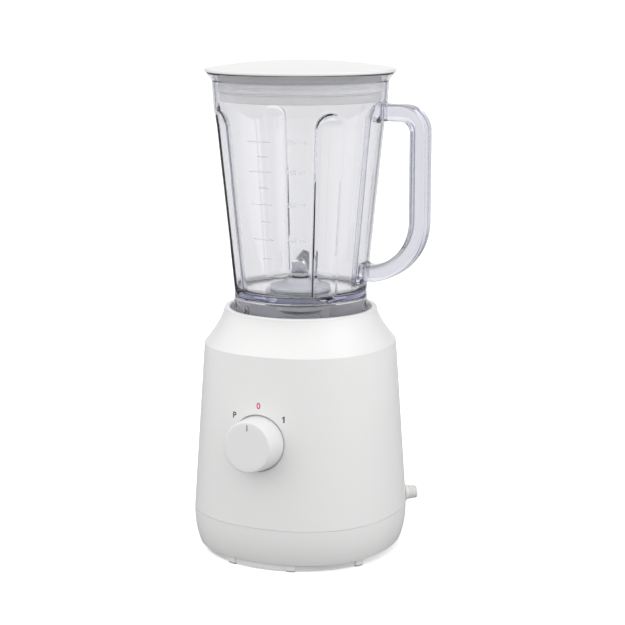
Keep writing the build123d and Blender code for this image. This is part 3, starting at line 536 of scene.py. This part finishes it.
def lettering(name, text, size, depth, bold=0.0):
    """Text as a flat-faced solid in mm, centred on its place, standing from -depth/2 to depth/2."""
    curve = bpy.data.curves.new(name, "FONT")
    curve.body, curve.size, curve.extrude, curve.offset = text, size, depth / 2, bold
    curve.align_x, curve.align_y, curve.resolution_u = "CENTER", "CENTER", 6
    carrier = add(name, curve)
    mesh = bpy.data.meshes.new_from_object(carrier.evaluated_get(bpy.context.evaluated_depsgraph_get()))
    bpy.data.objects.remove(carrier)
    work = bmesh.new()
    work.from_mesh(mesh)
    bmesh.ops.remove_doubles(work, verts=work.verts, dist=1e-5)
    return work


def figure_one(height, depth):
    """A plain figure 1 with its flag, as a flat-faced solid in mm."""
    corners = [(-0.06, -0.5), (0.16, -0.5), (0.16, 0.5), (-0.02, 0.5),
               (-0.30, 0.24), (-0.19, 0.12), (-0.06, 0.23)]
    work = bmesh.new()
    back, front = ([work.verts.new((x * height, y * height, side * depth / 2)) for x, y in corners]
                   for side in (-1, 1))
    for i, j in zip(range(len(corners)), [*range(1, len(corners)), 0]):
        work.faces.new((back[i], back[j], front[j], front[i]))
    work.faces.new(back)
    work.faces.new(front)
    return work


mark_radius, mark_size, ink = 28.0, 6.6, 0.1
grey_ink = moulded("grey_ink", (0.055, 0.055, 0.06), 0.5, cloud=0.9)
red_ink = moulded("red_ink", (0.62, 0.02, 0.12), 0.5, cloud=0.92)
for text, turn, colour in (("P", -48, grey_ink), ("0", 0, red_ink), ("1", 46, grey_ink)):
    work = figure_one(mark_size * 0.72, ink) if text == "1" else lettering("mark", text, mark_size, ink, 0.12)
    angle = math.radians(turn)
    for vert in work.verts:
        x = vert.co.x + mark_radius * math.sin(angle)
        z = knob_z + (vert.co.y + mark_radius * math.cos(angle)) * math.cos(dial_tilt)
        vert.co = Vector((x, front_wall(x, z) - vert.co.z - 0.01, z)) * mm
    settle(finished("dial_mark_" + text, work, colour), "base", "pointer")


# ---------------------------------------------------------------- dial knob
# A hollow white cap with a slightly smaller face, pushed onto the switch shaft, and a short grey
# pointer line set in near the edge of its face.
knob_abs = moulded("knob_abs", (0.77, 0.77, 0.77), 0.3, coat=0.3)
pointer_grey = moulded("pointer_grey", (0.34, 0.34, 0.36), 0.5, cloud=0.9)
knob_foot, knob_face = -1.6, 18.7
dial_centre = (0, front_wall(0, knob_z) * mm, knob_z * mm)
dial_place = Matrix.Translation(dial_centre) @ Matrix.Rotation(quarter - dial_tilt, 4, "X")
face_under, boss_end, bore_end = knob_face - 2.2, knob_face - 13.0, knob_face - 4.0
knob_corners = [(0, knob_face - 0.25, 0), (15.0, knob_face, 30), (19.3, knob_face, 1.5),
                (20.8, knob_foot, 0.5), (19.0, knob_foot, 0.4), (17.6, face_under, 1.2),
                (5.4, face_under, 0.8), (5.4, boss_end, 0.4), (3.02, boss_end, 0.3),
                (3.02, bore_end, 0.2), (0, bore_end, 0)]
knob = turned("dial_cap", knob_corners, knob_abs, 160, dial_place, 40)
settle(knob, "knob", "knob", "control_knob")
pointer_rows = [box_ring(0, 0, 0, -0.5)]
for half_x, half_y, corner, z in ((0.6, 2.4, 0.6, -0.5), (0.6, 2.4, 0.6, 0.02), (0.5, 2.3, 0.5, 0.07),
                                   (0, 0, 0, 0.07)):
    pointer_rows.append(box_ring(half_x, half_y, corner, z))
pointer_place = dial_place @ Matrix.Translation((0, 14.5 * mm, knob_face * mm))
pointer = skin("dial_pointer_line", pointer_rows, pointer_grey, places=[pointer_place])
settle(pointer, "knob", "pointer", "knob_pointer")


# ---------------------------------------------------------------- blade unit
# A grey acetal housing clamped through the jug floor, carrying a crossed pair of ground stainless blades
# on a short spindle, held by a washer and a domed nut.
blade_steel = metal("ground_blade_steel", (0.82, 0.83, 0.85), 0.28, (1, 25, 25), 60.0)
housing_corners = [(7.0, 189.0, 0.3), (9.5, 189.0, 0.4), (9.5, 203.0, 0), (16.0, 203.0, 0.4),
                   (16.0, 188.0, 0.3), (18.6, 188.0, 0.5), (18.6, 205.5, 0), (24.0, 205.5, 0.5),
                   (24.0, 207.5, 0.9), (13.5, 210.0, 1.8), (10.5, 213.5, 1.0), (7.0, 213.5, 0.5)]
unit_housing = turned("blade_unit_housing", housing_corners, grey_acetal, 96)
settle(unit_housing, "jug", "grey_plastic", "blade_housing")


def blade_arms(name, z, tilt, turn, node):
    """Two-armed cutter folded near its middle, ground to a thin edge on the leading side of each arm.

    A station is a length along the arm and the arm's width ahead of its middle and behind it, in mm.
    """
    fold, bend_length, thickness, bevel, ground_width = 6.6, 2.8, 1.5, 0.1, 1.9
    bend = math.radians(tilt)
    stations = [(0, 6.5, 6.5), (6.6, 6.5, 6.5), (7.3, 6.5, 6.45), (8, 6.45, 6.4), (8.7, 6.4, 6.35),
                (9.4, 6.3, 6.3), (14, 5.9, 5.9), (20, 5.45, 5.3), (24, 4.2, 5.15), (26, 3.35, 5.0),
                (27.6, 2.4, 3.2), (28.8, 1.6, -0.4)]
    work = bmesh.new()
    for direction in (1, -1):
        rings = []
        x, rise, last = 0.0, 0.0, 0.0
        for s, lead, trail in stations:
            angle = bend * min(max((s - fold) / bend_length, 0), 1)
            middle = bend * min(max(((s + last) / 2 - fold) / bend_length, 0), 1)
            x += (s - last) * math.cos(middle)
            rise += (s - last) * math.sin(middle)
            last = s
            sharp = min(max((s - 8) / 2, 0), 1)
            section = [(-trail, bevel), (-trail, thickness - bevel), (-trail + bevel, thickness),
                       (lead - bevel - ground_width * sharp, thickness),
                       (lead, thickness * (0.93 - 0.75 * sharp)), (lead, bevel), (lead - bevel, 0),
                       (-trail + bevel, 0)]
            ring = []
            for across, up in section:
                place = Vector((x - up * math.sin(angle), across, z + rise + up * math.cos(angle)))
                ring.append(work.verts.new(Vector((place.x * direction, place.y * direction, place.z)) * mm))
            rings.append(ring)
        for low, high in zip(rings, rings[1:]):
            for i in range(len(low)):
                j = (i + 1) % len(low)
                work.faces.new((low[i], low[j], high[j], high[i]))
        work.faces.new(rings[-1])
        work.faces.new(rings[0])
    bmesh.ops.rotate(work, verts=work.verts, matrix=Matrix.Rotation(math.radians(turn), 3, "Z"))
    piece = finished(name, work, blade_steel, 20)
    settle(piece, "blades", "blade_steel", node)


blade_z = 215.9
blade_arms("lower_cutter", blade_z, -9, 20, "lower_blade")
blade_arms("upper_cutter", blade_z + 1.5, 36, 110, "upper_blade")


def hex_row(half_flat, limit, z, count=72):
    """Ring of a hexagon whose corners are turned down to a limiting radius."""
    ring = []
    for i in range(count):
        angle = full_turn * i / count
        reach = half_flat / math.cos((angle + math.pi / 6) % (math.pi / 3) - math.pi / 6)
        radius = min(reach, limit)
        ring.append(Vector((radius * math.cos(angle), radius * math.sin(angle), z)) * mm)
    return ring


nut_low, nut_half, nut_corner, nut_dome = blade_z + 4.0, 5.0, 5.8, 4.6
nut_high = nut_low + 3.6
nut_rows = [hex_row(0, 0, nut_low), hex_row(nut_half, 5.2, nut_low),
            hex_row(nut_half, nut_corner, nut_low + 0.4), hex_row(nut_half, nut_corner, nut_low + 3.0),
            hex_row(nut_half, 5.1, nut_high), hex_row(nut_half, nut_dome, nut_high)]
dome_steps = 8
for i in range(1, dome_steps + 1):
    swing = quarter * i / dome_steps
    nut_rows.append(hex_row(nut_half, nut_dome * math.cos(swing), nut_high + nut_dome * math.sin(swing)))
domed_nut = skin("domed_nut", nut_rows, stainless, crisp=28)
settle(domed_nut, "blades", "steel", "blade_nut")


# ---------------------------------------------------------------- clear jug
# One moulding in clear SAN plastic: a straight skirt that stands in the seat, a floor, a tapered wall with
# four round-ended flutes pressed in from outside, a flared rim and a small pouring lip on the left.
def clear_plastic(name, low, high, dull, depth):
    """Clear moulding plastic that lets lamps through and takes a violet cast along its thick edges."""
    made, tree, shader = material(name, IOR=1.56, Transmission_Weight=1.0)
    feed(tree, shader, Roughness=dull + 0.012 * noise(tree, 30.0),
         Base_Color=shade(tree, noise(tree, 12.0), low, high),
         Normal=bump(tree, noise(tree, 9.0), depth, 0.25))
    passing = tree.node("ShaderNodeLightPath", output="Is Shadow Ray")
    open_way = tree.node("ShaderNodeBsdfTransparent", sockets={0: (0.99, 0.99, 0.995, 1)})
    clear = Value(tree, shader.outputs[0])
    both = tree.node("ShaderNodeMixShader", sockets={0: passing, 1: clear, 2: open_way})
    body = tree.node("ShaderNodeVolumeAbsorption", sockets={"Color": (0.55, 0.57, 0.80, 1), "Density": 18.0})
    out = next(node for node in tree.nodes if node.bl_idname == "ShaderNodeOutputMaterial")
    tree.links.new(both.socket, out.inputs["Surface"])
    tree.links.new(body.socket, out.inputs["Volume"])
    return made


clear_san = clear_plastic("clear_san", (0.988, 0.988, 0.995), (0.996, 0.996, 1.0), 0.006, 0.0002)

skirt_low, skirt_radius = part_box("jug")[0].z / mm, 52.0
jug_wall, jug_floor_under, jug_floor_top = 2.4, 200.5, 204.5
cone_low, cone_low_radius, cone_top, cone_top_radius = 203.3, 51.1, 330.8, 63.9
mouth_low, mouth_low_radius, mouth_top, mouth_top_radius = 343.6, 66.1, 364.8, 67.4
rim_top, rim_radius = 371.1, 71.8
wall_slope = (cone_top_radius - cone_low_radius) / (cone_top - cone_low)


def cone_radius(z):
    """Outer radius of the tapered wall, in mm."""
    return cone_low_radius + (z - cone_low) * wall_slope


def jug_section():
    """Closed outline of the wall: up the outside, over the rim, down the inside and under the floor."""
    outer = [(skirt_radius, skirt_low, 0.6), (skirt_radius, 190.8, 8), (cone_low_radius, cone_low, 6),
             (cone_top_radius, cone_top, 5), (mouth_low_radius, mouth_low, 5),
             (mouth_top_radius, mouth_top, 3), (rim_radius - 0.4, 370.2, 0.9), (rim_radius, rim_top, 0.2)]
    inner = [(69.3, rim_top, 0.5), (mouth_top_radius - jug_wall, mouth_top, 3),
             (mouth_low_radius - jug_wall, mouth_low, 5), (cone_top_radius - jug_wall, cone_top, 5),
             (cone_radius(jug_floor_top) - jug_wall, jug_floor_top, 5.0), (18.9, jug_floor_top, 0.3),
             (18.9, jug_floor_under, 0.3), (49.4, jug_floor_under, 2.0), (49.6, skirt_low, 0.6)]
    row_gap, flute_ends = 3.6, ((336, 9.5), (204, 7))
    plain = rounded(outer + inner)
    outline = []
    for here, ahead in zip(plain, plain[1:] + plain[:1]):
        pieces = math.ceil((ahead - here).length / (row_gap * mm))
        for k in range(pieces):
            start, end = here.lerp(ahead, k / pieces), here.lerp(ahead, (k + 1) / pieces)
            middle = (start.y + end.y) / 2
            near_end = any(abs(middle - z * mm) < reach * mm for z, reach in flute_ends)
            finer = 3 if near_end and start.x > 40 * mm and abs(start.y - end.y) > 1.2 * mm else 1
            outline += [start.lerp(end, i / finer) for i in range(finer)]
    top = max(range(len(outline)), key=lambda i: outline[i].y)
    first_inner = next(i for i in range(top, len(outline)) if outline[i].x < 70.6 * mm)
    return outline, first_inner


jug_outline, first_inner_row = jug_section()
jug_shape = Shape("fluted_jug", {
    "Segments": 384, "Wall": jug_wall * mm, "First flute": quarter / 2, "Flute top": cone_top * mm,
    "Flute bottom": (cone_low + 2.5) * mm, "Top radius": 12.0 * mm, "Bottom radius": 10.0 * mm,
    "Top centre": (cone_top_radius + 6.0) * mm, "Bottom centre": (cone_low_radius + 5.0) * mm,
    "Outer softness": 1.2 * mm, "Inner softness": 3.0 * mm, "Lip radius": 14.0 * mm, "Lip wall": 2.0 * mm,
    "Lip centre": 59.3 * mm, "Lip height": (rim_top - 2.0) * mm, "Lip reach down": 14.0 * mm,
    "Groove depth": 1.7 * mm, "Groove half width": 3.9 * mm, "Groove top": 181.8 * mm})


def spun(shape, outline):
    """Spins a closed outline round the axis; gives the sheet of points, and each point's bearing, row,
    radius and height."""
    rows = float(len(outline))
    grid = shape.node("GeometryNodeMeshGrid", sockets={
        0: 1.0, 1: 1.0, 2: shape.size("Segments") + 1.0, 3: len(outline) + 1})
    at = shape.node("GeometryNodeInputPosition")
    row = shape.math("MODULO", shape.math("ROUND", (shape.axis(at, "Y") + 0.5) * rows), rows)
    point = shape.node("GeometryNodeSampleIndex", {"data_type": "FLOAT_VECTOR"},
                       {"Geometry": shape.start, "Value": at, "Index": row})
    return grid, (shape.axis(at, "X") + 0.5) * full_turn, row, shape.axis(point, "X"), shape.axis(point, "Z")


def joined_round(shape, grid, bearing, radius, height):
    """Moves the sheet of points to their bearing, radius and height, and closes its seams."""
    place = shape.vector(radius * shape.math("COSINE", bearing), radius * shape.math("SINE", bearing), height)
    moved = shape.node("GeometryNodeSetPosition", sockets={"Geometry": grid, "Position": place})
    return shape.node("GeometryNodeMergeByDistance", sockets={"Geometry": moved, "Distance": 1e-6})


def fade(shape, value, start, end):
    """1 before start, 0 after end, and a smooth run between."""
    return shape.node("ShaderNodeMapRange", {"interpolation_type": "SMOOTHSTEP"}, {
        "Value": value, "From Min": start, "From Max": end, "To Min": 1.0, "To Max": 0.0})


def fluted_jug(shape):
    """Presses the flutes and seat grooves into the spun wall and draws out the pouring lip."""
    size, least, most = shape.size, "MINIMUM", "MAXIMUM"
    grid, bearing, row, radius, height = spun(shape, jug_outline)
    inside = row > first_inner_row - 0.5
    wall = inside * size("Wall")

    # a flute's cutter is a tapered round bar with a ball at its top
    from_flute = shape.math("PINGPONG", bearing - size("First flute"), quarter / 2)
    share = (height - size("Flute bottom")) / (size("Flute top") - size("Flute bottom"))
    share = shape.math(least, shape.math(most, share, 0.0), 1.0)
    bar = size("Bottom radius") + share * (size("Top radius") - size("Bottom radius")) + wall
    centre = size("Bottom centre") + share * (size("Top centre") - size("Bottom centre"))
    over = shape.math(most, height - size("Flute top"), 0.0)
    under = shape.math(most, size("Flute bottom") - height, 0.0) * (3.0 - 3.0 * inside)
    sideways = centre * shape.math("SINE", from_flute)
    left = bar * bar - over * over - under * under - sideways * sideways
    cut = centre * shape.math("COSINE", from_flute) - shape.math("SQRT", shape.math(most, left, 0.0))
    lowest = cone_low * mm + inside * (jug_floor_top - cone_low - 1.0) * mm - (1.0 - inside) * 6.0 * mm
    cut = cut + (left < 0.0) + (height < lowest) + (radius < 40.0 * mm)
    softness = size("Outer softness") + inside * (size("Inner softness") - size("Outer softness"))
    fluted = shape.math(least, shape.math("SMOOTH_MIN", radius, cut, softness), radius)

    # the pouring lip is a ball opposite the handle
    from_lip = bearing - math.pi
    ball = size("Lip radius") - inside * size("Lip wall")
    rise = height - size("Lip height")
    aside = size("Lip centre") * shape.math("SINE", from_lip)
    room = ball * ball - rise * rise - aside * aside
    lip = size("Lip centre") * shape.math("COSINE", from_lip)
    lip = lip + shape.math("SQRT", shape.math(most, room, 0.0))
    near = (room > 0.0) * (height > size("Lip height") - size("Lip reach down")) * (radius > 60.0 * mm)
    lipped = fluted + near * (shape.math("SMOOTH_MAX", fluted, lip, 1.5 * mm) - fluted)

    # shallow grooves in the skirt clear the seat's ribs
    across = shape.math("PINGPONG", bearing, quarter / 2) * skirt_radius * mm
    groove = fade(shape, across, size("Groove half width") * 0.75, size("Groove half width") * 1.25)
    groove = groove * fade(shape, height, size("Groove top"), size("Groove top") + 2.5 * mm)
    groove = groove * (radius > 45.0 * mm)
    return joined_round(shape, grid, bearing, lipped - groove * size("Groove depth"), height)


outline_mesh = bpy.data.meshes.new("jug_outline")
outline_mesh.from_pydata([(r, 0, z) for r, z in jug_outline], [], [])
jug = jug_shape.made_from(outline_mesh, fluted_jug(jug_shape), "jug_body", clear_san, 50)
settle(jug, "jug", "jug", "jug")


# ---------------------------------------------------------------- jug handle
# A solid bar of the same clear plastic, with rounded edges, bonded to pads on the wall at the mouth and
# low on the taper.
handle_reach, handle_high, handle_low = 98.0, 342.5, 220.5
top_bend, low_bend = 14.0, 41.2
half_width, half_thick, handle_edge = 9.0, 6.3, 2.8


def wall_at(z):
    """Outer radius of the jug wall, in mm, at either root of the handle."""
    flare = (z - cone_top) * (mouth_low_radius - cone_top_radius) / (mouth_low - cone_top)
    return cone_radius(z) if z < cone_top else cone_top_radius + flare


def handle_line():
    """Centreline as (x, z, heading) in mm: out at the top, round, down the grip and back in."""
    line = [(wall_at(handle_high) + d, handle_high, 0.0) for d in (0.0, 1.2, 2.6, 4.0, 6.0)]
    line += [(x, handle_high, 0.0) for x in (76.0, 80.0, handle_reach - top_bend)]
    top_x, grip_start = handle_reach - top_bend, handle_high - top_bend
    line += [(top_x + top_bend * math.sin(a), grip_start + top_bend * math.cos(a), a)
             for a in (quarter * i / 14 for i in range(1, 15))]
    low_x, grip_end = handle_reach - low_bend, handle_low + low_bend
    line += [(handle_reach, grip_start - (grip_start - grip_end) * i / 12, quarter) for i in range(1, 12)]
    line += [(low_x + low_bend * math.cos(a), grip_end - low_bend * math.sin(a), quarter + a)
             for a in (quarter * i / 24 for i in range(0, 25))]
    root = wall_at(handle_low)
    line = [p for p in line if not (p[1] < handle_low + 1 and p[0] < root + 6.5)]
    line += [(root + d, handle_low, math.pi) for d in (6.0, 4.0, 2.6, 1.2, 0.0)]
    return line


def handle_rows():
    rows = []
    line = handle_line()
    for i, (x, z, heading) in enumerate(line):
        from_end = min(i, len(line) - 1 - i)
        flare = (1.6, 1.5, 0.7, 0.15)[from_end] if from_end < 4 else 0.0
        ring = []
        for p in box_ring(half_width + flare, half_thick + flare, handle_edge, 0, 5):
            across, out = p.x / mm, p.y / mm
            px, pz = x + out * math.sin(heading), z + out * math.cos(heading)
            if from_end == 0:
                px = math.sqrt(wall_at(pz) ** 2 - across ** 2) + 0.06
            ring.append(Vector((px, across, pz)) * mm)
        rows.append(ring)
    ends = []
    for row in (rows[0], rows[-1]):
        middle = sum(row, Vector()) / len(row)
        middle.x = (wall_at(middle.z / mm) + 0.06) * mm
        half = [p.lerp(middle, 0.5) for p in row]
        for p in half:
            p.x = (math.sqrt(wall_at(p.z / mm) ** 2 - (p.y / mm) ** 2) + 0.06) * mm
        ends.append([half, [middle] * len(row)])
    return ends[0][::-1] + rows + ends[1]


handle = skin("jug_handle_bar", handle_rows(), clear_san, crisp=40)
settle(handle, "jug", "jug", "jug_handle")


# ---------------------------------------------------------------- fill marks
# Moulded graduations on the front of the jug: a long tick with its figures every 250 ml and a short one
# half way.  The ticks stand where a cone of the jug's inner taper holds each volume.
frosted_mark, frost, frost_shader = material("frosted_mark", IOR=1.5, Transmission_Weight=0.55)
feed(frost, frost_shader, Roughness=0.45 + 0.15 * noise(frost, 200.0),
     Base_Color=shade(frost, noise(frost, 60.0), (0.90, 0.90, 0.93), (0.97, 0.97, 0.98)))
mark_gap, mark_relief, lost_volume = 0.04, 0.22, 120e3
inner_low = cone_radius(jug_floor_top) - jug_wall


def fill_height(millilitres):
    """Height in mm at which the tapered inside holds a volume."""
    cube = inner_low ** 3 + 3 * wall_slope * (millilitres * 1e3 + lost_volume) / math.pi
    return jug_floor_top + (cube ** (1 / 3) - inner_low) / wall_slope


mark_shape = Shape("fill_ticks", {
    "Ticks": 8, "Volume step": 125.0e-6, "Lost volume": lost_volume * 1e-9, "Slope": wall_slope,
    "Inner radius": inner_low * mm, "Floor height": jug_floor_top * mm, "Wall": (jug_wall + mark_gap) * mm})


def ticks(shape):
    """Puts a tick at each volume, long at every second one, and lays it on the wall by its bearing."""
    size = shape.size
    rank = shape.node("GeometryNodeInputIndex")
    line = shape.node("GeometryNodeMeshLine", sockets={"Count": size("Ticks")})
    volume = size("Lost volume") + size("Volume step") * (rank + 1.0)
    inner = size("Inner radius")
    radius = shape.math("POWER", inner * inner * inner + 3.0 / math.pi * size("Slope") * volume, 1 / 3)
    height = size("Floor height") + (radius - inner) / size("Slope")
    spots = shape.node("GeometryNodeSetPosition", sockets={
        "Geometry": line, "Position": shape.vector(0.0, 0.0, height)})
    odd = shape.math("MODULO", rank, 2.0)
    length = shape.vector(0.45 + 0.55 * odd, 1.0, 1.0)
    laid = shape.node("GeometryNodeInstanceOnPoints", sockets={
        "Points": spots, "Instance": shape.start, "Scale": length})
    real = shape.node("GeometryNodeRealizeInstances", sockets={0: laid})
    at = shape.node("GeometryNodeInputPosition")
    bearing, stand, z = shape.axis(at, "X"), shape.axis(at, "Y"), shape.axis(at, "Z")
    wall = inner + (z - size("Floor height")) * size("Slope") + size("Wall") + stand
    place = shape.vector(wall * shape.math("SINE", bearing), wall * shape.math("COSINE", bearing) * -1.0, z)
    return shape.node("GeometryNodeSetPosition", sockets={"Geometry": real, "Position": place})


# a tick is a strip in bearing (radians), relief and height, measured from the scale column's right side
tick_work = bmesh.new()
tick_steps, tick_start, tick_length = 12, math.radians(4), math.radians(18)
tick_half, tick_crest = 0.35, 0.35 * 0.6
tick_rings = []
for i in range(tick_steps + 1):
    along = tick_start - tick_length * i / tick_steps
    corners_of = ((0, -tick_half), (0, tick_half), (mark_relief, tick_crest), (mark_relief, -tick_crest))
    tick_rings.append([tick_work.verts.new((along, d * mm, h * mm)) for d, h in corners_of])
for low, high in zip(tick_rings, tick_rings[1:]):
    for i in range(4):
        tick_work.faces.new((low[i], low[(i + 1) % 4], high[(i + 1) % 4], high[i]))
tick_work.faces.new(tick_rings[0])
tick_work.faces.new(tick_rings[-1])
tick_mesh = bpy.data.meshes.new("one_tick")
tick_work.to_mesh(tick_mesh)
tick_work.free()
fill_ticks = mark_shape.made_from(tick_mesh, ticks(mark_shape), "fill_ticks", frosted_mark)
settle(fill_ticks, "jug", "jug")

figures, figure_size, figure_bearing = bmesh.new(), 5.2, math.radians(21.5)
for volume in (250, 500, 750, 1000):
    z = fill_height(volume)
    text = lettering("figure", str(volume) + " ml", figure_size, mark_relief)
    for vert in text.verts:
        height = z + vert.co.y
        radius = cone_radius(height) + mark_gap + mark_relief / 2 + vert.co.z
        bearing = figure_bearing + vert.co.x / radius
        vert.co = Vector((radius * math.sin(bearing), -radius * math.cos(bearing), height)) * mm
    figure_mesh = bpy.data.meshes.new("figure")
    text.to_mesh(figure_mesh)
    text.free()
    figures.from_mesh(figure_mesh)
settle(finished("fill_figures", figures, frosted_mark), "jug", "jug")


# ---------------------------------------------------------------- lid
# White plastic cap with a low dome and a hollow plug that reaches down inside the jug's mouth.  It is one
# moulding, pushed in by hand and held there by its gasket.
lid_white = moulded("lid_white", (0.81, 0.81, 0.805), 0.32, coat=0.3)
lid_under, lid_top, lid_radius, lid_dome, lid_wall = 371.4, 379.9, 73.0, 6.3, 2.2
plug_radius, plug_low, plug_wall = 61.8, 349.8, 2.0
groove_radius, groove_low, groove_top = plug_radius - 0.8, 355.9, 365.9
dome_radius = (lid_radius ** 2 + lid_dome ** 2) / (2 * lid_dome)


def crown(r):
    """Height in mm of the lid's dome at a radius."""
    return lid_top - dome_radius + math.sqrt(dome_radius ** 2 - r * r)


lid_corners = []
top_steps, under_steps = 12, 8
for i in range(top_steps + 1):
    r = lid_radius * i / top_steps
    lid_corners.append((r, crown(r), 0.9 if i == top_steps else 0))
lid_corners += [(lid_radius, lid_under, 0.7), (plug_radius, lid_under, 0.6),
                (plug_radius, groove_top, 0.2), (groove_radius, groove_top, 0),
                (groove_radius, groove_low, 0), (plug_radius, groove_low, 0.2),
                (plug_radius, plug_low, 0.8), (plug_radius - plug_wall, plug_low, 0.6)]
for i in range(under_steps + 1):
    r = (plug_radius - plug_wall) * (under_steps - i) / under_steps
    lid_corners.append((r, crown(r) - lid_wall, 1.5 if i == 0 else 0))
lid = turned("lid_cap", lid_corners, lid_white, 192)
settle(lid, "lid", "lid", "lid")


# ---------------------------------------------------------------- lid gasket
# A translucent silicone ring in the plug's groove, with three thin lips that press on the jug wall.
silicone, gum, gum_shader = material("silicone", IOR=1.41, Transmission_Weight=0.06)
feed(gum, gum_shader, Roughness=0.38 + 0.1 * noise(gum, 90.0),
     Base_Color=shade(gum, noise(gum, 25.0), (0.95, 0.95, 0.955), (0.97, 0.97, 0.975)),
     Normal=bump(gum, noise(gum, 500.0), 0.00002))
gasket_low, gasket_height, gasket_inner, gasket_face = 356.1, 9.6, 61.05, 62.3
gasket_steps = 64
gasket_outline = [Vector((gasket_face, gasket_low + gasket_height * i / gasket_steps)) * mm
                  for i in range(gasket_steps + 1)]
gasket_outline += [Vector((gasket_inner, z)) * mm for z in (gasket_low + gasket_height, gasket_low)]
gasket_shape = Shape("lipped_gasket", {
    "Segments": 192, "Lips": 3, "Height": gasket_height * mm, "Bottom": gasket_low * mm,
    "Face": gasket_face * mm, "Lip reach": 1.0 * mm})


def lipped_gasket(shape):
    """Raises a rounded lip, leaning up, in each of the equal bands of the ring's outer face."""
    grid, bearing, row, radius, height = spun(shape, gasket_outline)
    bottom, tall, margin = shape.size("Bottom"), shape.size("Height"), 0.1 * mm
    band = shape.math("FRACT", (height - bottom) / tall * shape.size("Lips"))
    outer = (radius > shape.size("Face") - margin) * (height < bottom + tall - margin)
    ridge = (1.0 - fade(shape, band, 0.18, 0.50)) * fade(shape, band, 0.58, 0.80)
    return joined_round(shape, grid, bearing, radius + outer * ridge * shape.size("Lip reach"), height)


gasket_mesh = bpy.data.meshes.new("gasket_outline")
gasket_mesh.from_pydata([(r, 0, z) for r, z in gasket_outline], [], [])
gasket = gasket_shape.made_from(gasket_mesh, lipped_gasket(gasket_shape), "lipped_lid_gasket", silicone, 50)
settle(gasket, "lid", "silicone", "lid_gasket")

dress(silicone, "blade_gasket")
